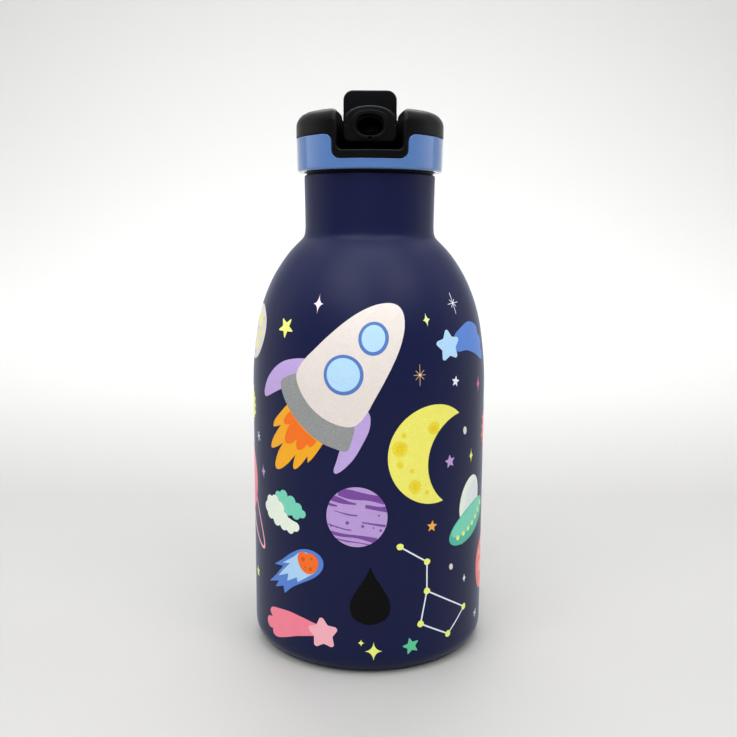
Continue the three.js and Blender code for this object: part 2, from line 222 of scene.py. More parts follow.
def straw_material():
    m = Mat("straw_translucent", Roughness=0.28, IOR=1.45)
    m.b.inputs["Transmission Weight"].default_value = 0.55
    c = srgb(226, 232, 234)
    m.color(m.ramp(m.noise(4.0, 3.0, 0.5, scale=(1, 1, 0.15)), [(0.3, tint(c, 0.93)), (0.7, tint(c, 1.05))]))
    m.rough(m.map_range(m.noise(0.5, 3.0, 0.5, scale=(1, 1, 0.08)), 0.3, 0.7, 0.2, 0.36))
    m.bump(m.noise(0.6, 2.0, 0.5, scale=(1, 1, 0.05)), 0.15, 0.03)
    return m.m


def bead_material(name, rgb, rough, metallic=0.0):
    m = Mat(name, Roughness=rough, Metallic=metallic)
    c = srgb(*rgb)
    n = m.noise(0.5, 4.0, 0.65)
    m.color(m.ramp(n, [(0.3, tint(c, 0.75)), (0.7, tint(c, 1.2))]))
    m.rough(m.map_range(n, 0.3, 0.7, rough - 0.12, rough + 0.12))
    m.bump(n, 0.5, 0.08)
    return m.m


COAT = coat_material()
STEEL = steel_material("turned_steel")
PIN_STEEL = steel_material("pin_steel", (205, 205, 206), 0.22)
BLUE = plastic("blue_gloss_plastic", (86, 124, 182), 0.16, 0.035, 0.9, 0.008, 0.025, Coat_Weight=0.35, Coat_Roughness=0.06)
BLACK = plastic("black_satin_plastic", (10, 10, 11), 0.36, 0.05, 0.14, 0.022, 0.08, Specular_IOR_Level=0.11)
SOFT = plastic("black_silicone", (7, 7, 8), 0.46, 0.06, 0.22, 0.02, 0.08, Specular_IOR_Level=0.09)
STRAW = straw_material()
BEAD = bead_material("solder_glass", (84, 88, 92), 0.4)
GETTER = bead_material("getter_alloy", (120, 122, 125), 0.6, 0.6)

# ---------------------------------------------------------------- mesh helpers
def make(name, verts_mm, faces, mats, body, replaces=(), smooth=True, face_mats=None, normals=None, sharp=None):
    mesh = bpy.data.meshes.new(name)
    v = np.asarray(verts_mm, dtype=np.float64) * MM
    if isinstance(faces, np.ndarray) and faces.ndim == 2:
        k = faces.shape[1]
        mesh.vertices.add(len(v))
        mesh.vertices.foreach_set("co", v.ravel())
        mesh.loops.add(faces.size)
        mesh.loops.foreach_set("vertex_index", faces.ravel().astype(np.int32))
        mesh.polygons.add(len(faces))
        mesh.polygons.foreach_set("loop_start", np.arange(0, faces.size, k, dtype=np.int32))
        mesh.update(calc_edges=True)
    else:
        mesh.from_pydata(v.tolist(), [], [list(f) for f in faces])
    mesh.validate()
    for m in mats:
        mesh.materials.append(m)
    if face_mats is not None:
        mesh.polygons.foreach_set("material_index", np.asarray(face_mats, dtype=np.int32))
    mesh.polygons.foreach_set("use_smooth", np.full(len(mesh.polygons), smooth))
    if sharp is not None:
        mesh.set_sharp_from_angle(angle=math.radians(sharp))
    if normals is not None:
        mesh.normals_split_custom_set_from_vertices([tuple(n) for n in normals])
    mesh.update()
    o = bpy.data.objects.new(name, mesh)
    scene.collection.objects.link(o)
    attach(o, body)
    if replaces:
        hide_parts(*replaces)
    return o


def arc_fillets(points, step=0.35):
    """points: (r, z) or (r, z, fillet). Corners with a fillet become arcs. The loop is closed when first == last."""
    loop = points[0][:2] == points[-1][:2]
    pts = points[:-1] if loop else points
    n, out = len(pts), []
    for i, p in enumerate(pts):
        f = p[2] if len(p) > 2 else 0
        if f <= 0 or (not loop and i in (0, n - 1)):
            out.append((p[0], p[1]))
            continue
        a, b, c = np.array(pts[i - 1][:2], float), np.array(p[:2], float), np.array(pts[(i + 1) % n][:2], float)
        u, w = (a - b) / np.linalg.norm(a - b), (c - b) / np.linalg.norm(c - b)
        half = math.acos(max(-1, min(1, float(u @ w)))) / 2
        if abs(half - math.pi / 2) < 1e-3:
            out.append((p[0], p[1]))
            continue
        d = f / math.tan(half)
        bis = (u + w) / np.linalg.norm(u + w)
        centre = b + bis * (f / math.sin(half))
        s, e = b + u * d, b + w * d
        a0, a1 = math.atan2(*(s - centre)[::-1]), math.atan2(*(e - centre)[::-1])
        da = (a1 - a0 + math.pi) % (2 * math.pi) - math.pi
        k = max(3, int(abs(da) * f / step) + 2)
        for j in range(k + 1):
            t = a0 + da * j / k
            out.append((centre[0] + f * math.cos(t), centre[1] + f * math.sin(t)))
    if loop:
        out.append(out[0])
    return out


def dense(points, step):
    out = [points[0]]
    for a, b in zip(points, points[1:]):
        k = max(1, int(math.hypot(b[0] - a[0], b[1] - a[1]) / step))
        for j in range(1, k + 1):
            out.append((a[0] + (b[0] - a[0]) * j / k, a[1] + (b[1] - a[1]) * j / k))
    return out


def lathe(points, seg=192, bend=None, centre=(0, 0), axis="z"):
    """Quads and end fans round the axis. Points run so that the material lies to the left of the path going up outside."""
    loop = abs(points[0][0] - points[-1][0]) < 1e-9 and abs(points[0][1] - points[-1][1]) < 1e-9
    pts = list(points[:-1] if loop else points)
    verts, rings = [], []
    ang = np.arange(seg) * 2 * math.pi / seg
    for r, z in pts:
        if r < 1e-6:
            rings.append([len(verts)])
            verts.append((0.0, 0.0, z))
        else:
            rr = np.full(seg, r) if bend is None else bend(r, z, ang)
            rings.append(list(range(len(verts), len(verts) + seg)))
            verts.extend(zip(rr * np.cos(ang), rr * np.sin(ang), np.full(seg, z)))
    faces = []
    pairs = list(zip(rings, rings[1:])) + ([(rings[-1], rings[0])] if loop else [])
    for a, b in pairs:
        for i in range(seg):
            j = (i + 1) % seg
            if len(a) == 1 and len(b) == 1:
                continue
            if len(a) == 1:
                faces.append((a[0], b[j], b[i]))
            elif len(b) == 1:
                faces.append((a[i], a[j], b[0]))
            else:
                faces.append((a[i], a[j], b[j], b[i]))
    v = np.array(verts)
    area = 0.0  # signed volume, to turn the faces outwards
    for f in faces:
        p = v[list(f)]
        for k in range(1, len(f) - 1):
            area += float(np.dot(p[0], np.cross(p[k], p[k + 1])))
    if area < 0:
        faces = [tuple(reversed(f)) for f in faces]
    if axis == "x":
        v = v[:, [2, 0, 1]]
    v = v + np.array([centre[0], centre[1], 0.0]) if axis == "z" else v
    return v, faces


# ---- distance fields, for the moulded pieces
def rmax(a, b, r):
    """Intersection with a round edge of radius r."""
    return np.minimum(-r, np.maximum(a, b)) + np.sqrt(np.maximum(a + r, 0) ** 2 + np.maximum(b + r, 0) ** 2)


def rmin(a, b, r):
    """Union with a round inside corner of radius r."""
    return np.maximum(r, np.minimum(a, b)) - np.sqrt(np.maximum(r - a, 0) ** 2 + np.maximum(r - b, 0) ** 2)


def box2(x, z, x0, x1, z0, z1, r):
    """Rounded rectangle."""
    qx, qz = np.abs(x - (x0 + x1) / 2) - (x1 - x0) / 2 + r, np.abs(z - (z0 + z1) / 2) - (z1 - z0) / 2 + r
    return np.sqrt(np.maximum(qx, 0) ** 2 + np.maximum(qz, 0) ** 2) + np.minimum(np.maximum(qx, qz), 0) - r


def sdf_mesh(fn, lo, hi, h):
    """Surface nets on the field, with each vertex then moved onto the surface, and its normal taken from the field."""
    ax = [np.arange(l, u + h, h, dtype=np.float64) for l, u in zip(lo, hi)]
    nx, ny, nz = (len(a) for a in ax)
    d = np.empty((nx, ny, nz), dtype=np.float32)
    for i in range(0, nx, 24):
        X, Y, Z = np.meshgrid(ax[0][i : i + 24], ax[1], ax[2], indexing="ij")
        d[i : i + 24] = fn(X, Y, Z)
    s = d < 0
    c = s[:-1, :-1, :-1]
    corners = [(a, b, e) for a in (0, 1) for b in (0, 1) for e in (0, 1)]
    cells = [s[a : nx - 1 + a, b : ny - 1 + b, e : nz - 1 + e] for a, b, e in corners]
    any_in, all_in = np.zeros_like(c), np.ones_like(c)
    for q in cells:
        any_in |= q
        all_in &= q
    I = np.argwhere(any_in & ~all_in)
    index = -np.ones(c.shape, dtype=np.int64)
    index[I[:, 0], I[:, 1], I[:, 2]] = np.arange(len(I))
    acc, cnt = np.zeros((len(I), 3)), np.zeros(len(I))
    for a in corners:
        for axis in range(3):
            if a[axis]:
                continue
            b = list(a)
            b[axis] = 1
            da = d[I[:, 0] + a[0], I[:, 1] + a[1], I[:, 2] + a[2]].astype(np.float64)
            db = d[I[:, 0] + b[0], I[:, 1] + b[1], I[:, 2] + b[2]].astype(np.float64)
            cross = (da < 0) != (db < 0)
            t = np.where(cross, da / np.where(cross, da - db, 1), 0)
            p = np.tile(np.array(a, float), (len(I), 1))
            p[:, axis] += t
            acc += p * cross[:, None]
            cnt += cross
    v = (I + acc / cnt[:, None]) * h + np.array([a[0] for a in ax])

    def grad(p, e=0.02):
        g = np.stack([fn(*(p + np.eye(3)[k] * e).T) - fn(*(p - np.eye(3)[k] * e).T) for k in range(3)], 1) / (2 * e)
        return g

    start = v.copy()
    for _ in range(3):
        g = grad(v)
        q = fn(*v.T)
        n2 = np.maximum((g**2).sum(1), 0.15)
        v = v - np.clip(q / n2, -h, h)[:, None] * g
    move = v - start
    far = np.linalg.norm(move, axis=1) > 0.9 * h
    v[far] = start[far] + move[far] * (0.9 * h / np.linalg.norm(move[far], axis=1))[:, None]
    quads = []
    for axis in range(3):
        o1, o2 = (axis + 1) % 3, (axis + 2) % 3
        sl0 = [slice(None)] * 3
        sl1 = [slice(None)] * 3
        sl0[axis], sl1[axis] = slice(0, -1), slice(1, None)
        A, B = s[tuple(sl0)], s[tuple(sl1)]
        E = np.argwhere(A != B)
        ok = (E[:, o1] > 0) & (E[:, o2] > 0) & (E[:, o1] < s.shape[o1] - 1) & (E[:, o2] < s.shape[o2] - 1)
        E = E[ok]
        inside_first = A[E[:, 0], E[:, 1], E[:, 2]]

        def cell(p, q):
            K = E.copy()
            K[:, o1] -= p
            K[:, o2] -= q
            return index[K[:, 0], K[:, 1], K[:, 2]]

        Q = np.stack([cell(1, 1), cell(0, 1), cell(0, 0), cell(1, 0)], 1)
        Q[~inside_first] = Q[~inside_first][:, ::-1]
        quads.append(Q)
    F = np.concatenate(quads)
    F = F[(F >= 0).all(1)]
    n = grad(v)
    n /= np.maximum(np.linalg.norm(n, axis=1, keepdims=True), 1e-9)
    return v, F, n


def moulded(name, fn, lo, hi, h, mats, body, replaces):
    v, f, n = sdf_mesh(fn, lo, hi, h * (1.0))
    return make(name, v, f, mats, body, replaces, normals=n)


# ---------------------------------------------------------------- the steel bottle
BODY_R = 36.9
WALL_R = BODY_R - 0.08  # the coat; the printed ink stands on it and reaches the full radius
SHOULDER = [
    (36.9, 82.0), (36.84, 85.5), (36.66, 89.2), (36.32, 93.0), (35.84, 97.0), (35.2, 101.2), (34.46, 104.6), (33.62, 107.6), (32.66, 110.4),
    (31.5, 113.2), (30.14, 116.0), (28.6, 118.6), (26.94, 121.1), (25.1, 123.5), (23.3, 125.45), (21.9, 126.8), (20.75, 128.0), (20.2, 129.2),
]


def smooth_path(pts, step=0.25, rounds=14):
    p = np.array(dense(pts, step))
    keep = p.copy()
    for _ in range(rounds):
        q = p.copy()
        q[1:-1] = 0.25 * p[:-2] + 0.5 * p[1:-1] + 0.25 * p[2:]
        p = q
    return p


def catmull(pts, per=8):
    P = np.array(pts, float)
    P = np.vstack([2 * P[0] - P[1], P, 2 * P[-1] - P[-2]])
    out = []
    for i in range(1, len(P) - 2):
        for j in range(per):
            t = j / per
            a, b, c, d = P[i - 1], P[i], P[i + 1], P[i + 2]
            out.append(0.5 * (2 * b + (c - a) * t + (2 * a - 5 * b + 4 * c - d) * t * t + (3 * b - a - 3 * c + d) * t**3))
    out.append(P[-2])
    return [tuple(q) for q in out]


def wall_path():
    corner = [(31.2 + (BODY_R - 31.2) * math.sin(a), 5.6 * (1 - math.cos(a))) for a in np.linspace(0, math.pi / 2, 24)]
    straight = [(BODY_R, z) for z in np.linspace(6.4, 81.0, 90)]
    upper = catmull(SHOULDER)
    neck = [(20.08, 130.6), (20.05, 132.0), (20.14, 139.0), (20.25, 145.4)]
    path = smooth_path(corner + straight + upper + neck, 0.3, 10)
    blend = np.clip((path[:, 0] - 22.0) / 11.0, 0, 1)
    path[:, 0] -= (BODY_R - WALL_R) * blend * blend * (3 - 2 * blend)
    path[:, 0] = np.minimum(path[:, 0], WALL_R)
    return path


WALL = wall_path()
_s = np.concatenate([[0], np.cumsum(np.hypot(np.diff(WALL[:, 0]), np.diff(WALL[:, 1])))])
_s = _s - np.interp(20.0, WALL[:, 1], _s) + 20.0  # arc length, equal to the height on the straight wall
_tan = np.gradient(WALL, _s, axis=0)
_nrm = np.stack([_tan[:, 1], -_tan[:, 0]], 1)
_nrm /= np.linalg.norm(_nrm, axis=1, keepdims=True)


def on_wall(phi, s, lift):
    """A point on the wall: phi in radians from the front towards +X, s along the profile, lift outwards."""
    r, z = np.interp(s, _s, WALL[:, 0]), np.interp(s, _s, WALL[:, 1])
    nr, nz = np.interp(s, _s, _nrm[:, 0]), np.interp(s, _s, _nrm[:, 1])
    r2, z2 = r + nr * lift, z + nz * lift
    return np.stack([r2 * np.sin(phi), -r2 * np.cos(phi), z2], -1)


def thinned(path, degrees=1.0, reach=2.5):
    """Fewer points where the path runs straight: a new one after a turn of that many degrees, or after that reach."""
    ang = np.unwrap(np.arctan2(*np.gradient(path, axis=0).T[::-1]))
    keep = [0]
    for i in range(1, len(path) - 1):
        k = keep[-1]
        if abs(ang[i + 1] - ang[k]) > math.radians(degrees) or np.hypot(*(path[i + 1] - path[k])) > reach:
            keep.append(i)
    return path[keep + [len(path) - 1]]


def build_bottle():
    seg = 256
    outer = [tuple(p) for p in thinned(WALL, 1.0)]
    rim = arc_fillets([(20.25, 145.5), (20.25, 147.1, 0.6), (19.05, 147.1, 0.12), (19.05, 146.2)])
    inside = [(19.5, 145.6), (19.42, 131.0), (19.5, 129.2), (20.6, 127.2), (24.2, 123.6), (27.9, 118.6), (30.9, 113.0), (33.1, 107.0), (34.6, 101.0), (35.7, 94.0), (36.2, 86.0), (36.3, 80.0), (36.3, 8.0)]
    foot = [(34.6, 3.2), (31.2, 0.75), (30.1, 0.6), (30.0, 1.6), (29.45, 1.7), (29.4, 0.35), (29.62, 0.06), (29.9, 0.0)]
    pts = [(30.0, 0.0)] + outer + rim + inside + foot
    pts.append(pts[0])
    v, f = lathe(pts, seg)
    make("shell_powder_coated", v, f, [COAT], "bottle", ("outer_shell",), sharp=50)

    # inner vessel, with the screw ridges inside the neck
    P0, CR, NB = 3.5, 16.8, 17.5

    def ridge(t):
        u = t - np.floor(t)
        return np.interp(u, [0, 0.16, 0.20, 0.32, 0.36, 0.52, 1.0], [0, 0.9, 1, 1, 0.9, 0, 0])

    def bend(r, z, ang):
        if abs(r - NB) < 0.02 and 135.6 <= z <= 145.6:
            fade = max(0.0, min(1.0, (z - 135.7) / 1.2, (145.5 - z) / 1.2))
            return r - (NB - CR) * fade * ridge(z / P0 - ang / (2 * math.pi) + 0.5)
        return np.full(len(ang), r)

    cup = arc_fillets(
        [(0, 5.6), (28.5, 5.6, 3.5), (33.0, 9.0, 3.5), (33.0, 82.0, 30), (32.3, 93.0, 20), (30.6, 101.0, 16), (27.9, 108.6, 14), (23.7, 116.0, 12), (19.4, 122.0, 6), (17.35, 125.8, 4), (17.2, 129.5), (17.2, 134.9), (NB, 135.5)],
        0.8,
    )
    thread = [(NB, z) for z in np.arange(135.6, 145.61, 0.18)]
    lip = arc_fillets([(NB, 146.0), (NB, 147.0, 0.35), (18.95, 147.05, 0.12), (18.95, 146.3), (18.1, 146.1), (18.05, 134.9)])
    back = [(18.0, 134.6), (17.75, 134.2), (17.75, 126.0), (20.0, 122.2), (24.2, 116.3), (28.4, 108.8), (31.4, 100.2), (32.9, 92.5), (33.5, 82.0), (33.5, 12.0), (33.2, 9.0), (31.0, 6.4), (28.5, 5.15), (0, 5.1)]
    v, f = lathe(cup + thread + lip + back, seg, bend)
    make("vessel_bare_steel", v, f, [STEEL], "bottle", ("inner_vessel",), sharp=55)

    plate = arc_fillets(
        [(1.3, 2.2), (7.0, 2.2, 1.2), (9.2, 1.7, 1.2), (25.4, 1.6, 0.8), (26.8, 0.9, 0.6), (29.25, 0.9, 0.25), (29.25, 2.9), (28.6, 2.9), (28.6, 1.7), (27.0, 1.6), (25.7, 2.2), (9.4, 2.35), (7.2, 2.8), (1.3, 2.8), (1.3, 2.2)],
        0.3,
    )
    v, f = lathe(plate, seg)
    make("base_plate_turned", v, f, [STEEL], "bottle", ("base_plate",), sharp=50)
    bead = arc_fillets([(0, 1.0), (1.5, 1.08, 1.0), (2.45, 1.5, 0.5), (2.5, 2.1), (1.0, 2.1), (0.9, 2.7), (0, 2.7)], 0.15)
    v, f = lathe(bead, 48)
    wob = 1 + 0.05 * np.sin(3 * np.arctan2(v[:, 1], v[:, 0]) + 0.6)
    v[:, :2] *= wob[:, None]
    make("vacuum_seal_bead_fused", v, f, [BEAD], "bottle", ("vacuum_seal_bead",), sharp=50)


build_bottle()
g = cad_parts["getter_tablet"]
g.data.materials.clear() if hasattr(g.data.materials, "clear") else None
g.data.materials.append(GETTER)

# ---------------------------------------------------------------- the lid
AY, AZ = 7.0, 161.0  # hinge axis


def notch_field(x, y, z, gap=0.0):
    """Negative inside the black front tongue and everywhere above the ring."""
    slab = 158.05 - z
    tongue = box2(x, z, -11.0, 11.0, 151.0, 175.0, 2.4)
    return np.where(y < 0, rmin(slab, tongue, 2.5), slab) - gap


def lid_cover(x, y, z):
    r = np.sqrt(x * x + y * y)
    dome = np.sqrt(x * x + y * y + (z - (166.25 - 230.0)) ** 2) - 230.0
    outer = rmax(dome, r - 22.67, 3.7)
    skin = rmax(outer, notch_field(x, y, z), 0.22)
    plug = np.maximum(rmax(r - 20.0, 151.3 - z, 0.3), z - 160.0)
    body = np.minimum(skin, plug)
    hollow = np.maximum(np.maximum(r - 18.2, 150.0 - z), dome + 2.2)
    walls = np.maximum(np.abs(x) - 11.6, y - 15.3)
    walls = np.minimum(walls, np.maximum(np.maximum(np.abs(x) - 10.7, 161.0 - z), 13.0 - y))
    body = np.maximum(body, -np.maximum(hollow, -walls))
    w = np.interp(y, [-40, -17, 0, 40], [9.7, 9.7, 8.5, 8.5])
    w = w + 0.5 * np.clip((z - 162.6) / 4.0, 0, 1) ** 2
    channel = rmax(rmax((np.abs(x) - w) * 0.98, 153.3 - z, 1.7), y - 13.5, 0.8)
    edge = 0.35 + 0.95 * np.clip((z - 158.5) / 4.0, 0, 1)
    body = rmax(body, -channel, edge)
    trough = rmax(rmax(np.abs(x) - 8.8, 162.6 - z, 0.9), 12.3 - y, 0.1)
    body = rmax(body, -trough, 0.5)
    port = np.maximum(np.hypot(x, y - AY) - 3.85, z - 158.0)
    vent = np.maximum(np.hypot(x, y + 6.0) - 1.1, z - 158.0)
    body = np.maximum(body, -np.minimum(port, vent))
    pins = np.maximum(np.hypot(y - AY, z - AZ) - 1.3, np.abs(x) - 12.6)
    return np.maximum(body, -pins)


def collar(x, y, z):
    r = np.sqrt(x * x + y * y)
    outer = (r - (22.38 + (z - 148.5) * 0.025)) * 0.9997
    ring = rmax(outer, 147.9 - z, 0.75)
    ring = rmax(ring, 20.35 - r, 0.2)
    return rmax(ring, -notch_field(x, y, z, 0.12), 0.18)


moulded("lid_cover_moulded", lid_cover, (-23, -23, 150.5), (23, 23, 167), 0.29, [BLACK], "lid", ("lid_cover",))
moulded("collar_ring_gloss", collar, (-23, -23, 147.4), (23, 23, 158.6), 0.26, [BLUE], "lid", ("collar_ring",))


def arch_field(x, z, w, z0, z1, low, power=2.6):
    """The spout seen from the front: flat foot with round corners, arched top."""
    mid = z0 + (z1 - z0) * 0.46
    up = (np.abs(x / w) ** power + np.abs((z - mid) / (z1 - mid)) ** power) ** (1 / power) - 1
    g = np.where(z > mid, up * min(w, z1 - mid), np.abs(x) - w)
    return rmax(g, z0 - z, low)


def mouth(x, z):
    """The oval mouth, wider than it is tall, with flattened sides."""
    return ((np.abs(x / 3.9) ** 2.5 + np.abs((z - AZ + 0.35) / 3.0) ** 2.5) ** 0.4 - 1) * 3.0


def duct(x, y, z):
    w = np.interp(y, [-20, -11.0, -6, 1, 5, 10, 30], [3.7, 3.6, 2.6, 2.3, 2.2, 2.2, 2.2])
    h = np.interp(y, [-20, -11.0, -6, 1, 5, 10, 30], [2.8, 2.7, 1.8, 1.55, 1.7, 2.2, 2.2])
    dip = np.interp(y, [-30, -12, -5, 2, 9, 30], [0.35, 0.35, 1.4, 1.5, 0, 0])
    return (np.sqrt((x / w) ** 2 + ((z - AZ + dip) / h) ** 2) - 1) * h


def flip_spout(x, y, z):
    drum = rmax(np.hypot(y - AY, z - AZ) - 5.7, np.abs(x) - 8.0, 0.45)
    trunk = rmax(arch_field(x, z, 6.5, AZ - 4.2, AZ + 4.6, 1.5), np.maximum(-13.2 - y, y - AY), 0.4)
    tab_front = box2(x, z, -8.3, 8.3, AZ + 1.5, 173.27, 3.0)
    tab = rmax(tab_front, np.abs(y - 3.6) - 1.2, 0.55)
    body = rmin(rmin(drum, trunk, 0.6), tab, 0.9)
    body = rmax(body, -duct(x, y, z), 0.35)
    bore = np.maximum(np.hypot(y - AY, z - AZ) - 1.4, 5.2 - np.abs(x))
    return np.maximum(body, -bore)


def mouthpiece(x, y, z):
    face = -17.2 + 0.0035 * (x * x + (z - AZ) ** 2)
    block = rmax(arch_field(x, z, 8.0, 155.7, 166.15, 2.0, 2.3), np.maximum(face - y, y + 4.6), 0.7)
    pad = rmax(mouth(x, z) - 1.15, face - 0.14 - y, 0.3)
    block = rmin(block, np.maximum(pad, y + 14.0), 0.3)
    block = rmax(block, -np.maximum(mouth(x, z), y + 10.0), 0.45)
    block = np.maximum(block, -duct(x, y, z))
    sleeve = np.maximum(arch_field(x, z, 6.65, AZ - 4.35, AZ + 4.75, 1.6), -13.35 - y)
    block = np.maximum(block, -sleeve)
    vent = np.maximum(np.hypot(x, z - 156.95) - 0.42, y + 15.4)
    return rmax(block, -vent, 0.12)


moulded("flip_spout_moulded", flip_spout, (-9, -14, 154.6), (9, 13.4, 174), 0.2, [BLACK], "spout", ("flip_spout",))
moulded("mouthpiece_soft", mouthpiece, (-8.6, -18.2, 155.0), (8.6, -4.0, 167), 0.2, [SOFT], "spout", ("mouthpiece",))


def lid_base(x, y, z):
    r = np.sqrt(x * x + y * y)
    ang = np.arctan2(y, x)
    fade = np.clip(np.minimum((z - 135.7) / 1.2, (145.5 - z) / 1.2), 0, 1)
    u = z / 3.5 - ang / (2 * math.pi)
    u = u - np.floor(u)
    ridge = np.interp(u, [0, 0.16, 0.20, 0.32, 0.36, 0.52, 1.0], [0, 0.9, 1, 1, 0.9, 0, 0])
    wall = np.maximum((r - 15.6 - 1.0 * fade * ridge) * 0.8, 134.1 - z)
    groove = np.maximum(r - 14.75, 131.0 - z)
    bead = rmax(r - 15.35, np.maximum(130.6 - z, z - 131.35), 0.2)
    skirt = np.maximum(np.minimum(np.minimum(wall, groove), bead), z - 149.5)
    skirt = np.maximum(skirt, -np.maximum(r - 13.5, z - 148.2))
    flange = rmax(r - 20.1, np.abs(z - 149.7) - 1.0, 0.25)
    body = rmin(skirt, flange, 0.3)
    rp = np.hypot(x, y - AY)
    nipple = rmax(rp - 2.8 - 0.18 * (np.abs(((z - 138.5) % 2.4) - 1.2) - 0.6) * (z < 144.5), 138.5 - z, 0.3)
    boss = rmax(rp - 4.9, 147.6 - z, 0.25)
    body = rmin(body, np.maximum(np.minimum(nipple, boss), z - 149.5), 0.3)
    rib = np.maximum(np.abs(x) - 0.6, np.maximum(146.4 - z, z - 149.5))
    rib = np.maximum(rib, np.abs(r - 9.0) - 4.8)
    rib = np.maximum(rib, y)
    rib2 = np.maximum(np.maximum(np.abs(y) - 0.6, np.maximum(146.4 - z, z - 149.5)), np.abs(r - 9.0) - 4.8)
    rib = np.where(y > -10.5, 9.0, rib)
    body = rmin(body, np.minimum(rib, rib2), 0.25)
    body = np.maximum(body, 2.05 - rp)
    return np.maximum(body, 1.8 - np.hypot(x, y + 6.0))


moulded("lid_base_threaded", lid_base, (-20.8, -20.8, 130.0), (20.8, 20.8, 151.3), 0.3, [BLACK], "lid", ("lid_base",))

seg = 224
v, f = lathe(arc_fillets([(16.9, 147.2, 0.15), (19.5, 147.2, 0.3), (19.62, 147.8, 0.3), (19.5, 148.6, 0.3), (16.9, 148.6, 0.15), (16.9, 147.2)], 0.1), seg)
make("rim_gasket_ring", v, f, [SOFT], "lift_carrier", ("rim_gasket",), sharp=50)
v, f = lathe(
    arc_fillets([(14.85, 131.5), (15.6, 131.5, 0.2), (16.4, 132.1, 0.25), (15.8, 132.5, 0.2), (16.4, 133.1, 0.25), (15.6, 133.8, 0.2), (14.85, 133.8), (14.85, 131.5)], 0.08), seg
)
make("plug_seal_lips", v, f, [SOFT], "thread_carrier", ("plug_seal",), sharp=60)


def port_seal(x, y, z):
    rp = np.hypot(x, y - AY)
    tube = rmax(rmax(rp - 3.7, 2.3 - rp, 0.2), np.maximum(150.9 - z, z - 157.0), 0.25)
    return rmax(tube, 5.85 - np.hypot(y - AY, z - AZ), 0.2)


moulded("port_seal_saddle", port_seal, (-4.2, 2.8, 150.4), (4.2, 11.2, 157.6), 0.14, [SOFT], "lid", ("port_seal",))


def vent_valve(x, y, z):
    yy = y + 6.0
    rv = np.hypot(x, yy)
    stem = np.maximum(rv - 1.6, np.maximum(147.0 - z, z - 151.1))
    flange = rmax(rv - 2.6, np.abs(z - 151.07) - 0.16, 0.1)
    w = np.interp(z, [144.6, 148.2], [0.42, 1.6])
    bill = rmax(np.maximum(np.abs(x) - w, np.abs(yy) - 1.5), 144.6 - z, 0.15)
    bill = np.maximum(bill, z - 148.3)
    body = np.minimum(np.minimum(stem, flange), bill)
    return np.maximum(body, -np.maximum(rv - 0.8, 147.6 - z))


moulded("vent_valve_duckbill", vent_valve, (-3, -9, 144.2), (3, -3, 151.6), 0.12, [SOFT], "lid", ("vent_valve",))

for side, name in ((-1, "left"), (1, "right")):
    prof = arc_fillets([(0, 5.65), (1.2, 5.65, 0.2), (1.2, 12.35, 0.2), (0, 12.35)], 0.1)
    v, f = lathe(prof, 48)
    v = np.stack([side * v[:, 2], v[:, 0] + AY, v[:, 1] + AZ], 1)
    if side > 0:
        f = [tuple(reversed(q)) for q in f] if np.linalg.det(np.array([[0, 0, 1], [1, 0, 0], [0, 1, 0]])) < 0 else f
    else:
        f = [tuple(reversed(q)) for q in f]
    make("hinge_pin_%s_stub" % name, v, f, [PIN_STEEL], "lid", ("hinge_pin_" + name,), sharp=40)


def build_straw():
    n = 72
    ang = np.arange(n) * 2 * math.pi / n
    rings = []
    low = lambda r: 9.0 + 0.15 + (r * np.sin(ang) + 3.8) * math.tan(0.55)
    def ring(r, z):
        return np.stack([r * np.cos(ang), AY + r * np.sin(ang), z if hasattr(z, "__len__") else np.full(n, z)], 1)
    R1, R0 = 3.8, 3.1
    rings.append(ring(R0 + 0.15, low(R0)))
    rings.append(ring(R1 - 0.15, low(R1)))
    rings.append(ring(R1, low(R1) + 0.15))
    for z in np.linspace(20, 146.7, 24):
        rings.append(ring(R1, z))
    rings.append(ring(R1 - 0.15, 146.95))
    rings.append(ring(R0 + 0.2, 146.95))
    for z in np.linspace(146.7, 20, 24):
        rings.append(ring(R0, z))
    rings.append(ring(R0, low(R0) + 0.15))
    v = np.concatenate(rings)
    f = []
    k = len(rings)
    for a in range(k):
        b = (a + 1) % k
        for i in range(n):
            j = (i + 1) % n
            f.append((a * n + i, a * n + j, b * n + j, b * n + i))
    make("straw_tube", v, f, [STRAW], "lid", ("straw",), sharp=50)


build_straw()

# ---------------------------------------------------------------- the printed pattern: thin plates of ink on the wall
INKS = {
    "cream": (232, 221, 213), "glass": (183, 220, 246), "glass_rim": (86, 124, 190), "grey": (150, 151, 149), "lilac": (194, 166, 222),
    "amber": (250, 174, 32), "flame": (252, 116, 28), "moon": (243, 236, 108), "crater": (238, 218, 58), "orchid": (188, 156, 212),
    "violet": (122, 74, 154), "mint": (122, 213, 184), "cloud": (234, 243, 226), "cobalt": (86, 130, 208), "sky": (176, 214, 243),
    "orange": (250, 112, 38), "pink": (252, 132, 152), "blush": (253, 180, 190), "lemon": (240, 248, 124), "green": (98, 200, 150),
    "coral": (245, 122, 108), "white": (232, 236, 244), "gold": (224, 172, 96), "teal": (84, 186, 160), "pearl": (226, 234, 232), "ember": (222, 88, 26),
    "sunny": (236, 208, 40), "petal": (248, 222, 232), "apricot": (246, 172, 72), "bronze": (206, 164, 104), "straw_yellow": (232, 240, 150), "stone": (222, 216, 208), "rose": (226, 108, 150),
}
INK = {k: ink_material(k, v, grain=0.075 if k not in ("grey", "violet") else 0.2) for k, v in INKS.items()}
GLOSS_INK = ink_material("gloss_black", (5, 5, 7), gloss=0.3, grain=0.05)
for socket, value in (("Specular IOR Level", 0.1), ("Sheen Weight", 0.0)):
    GLOSS_INK.node_tree.nodes["Principled BSDF"].inputs[socket].default_value = value
INK["gloss"] = GLOSS_INK
LAYER = [0.026, 0.039, 0.052, 0.065, 0.077]


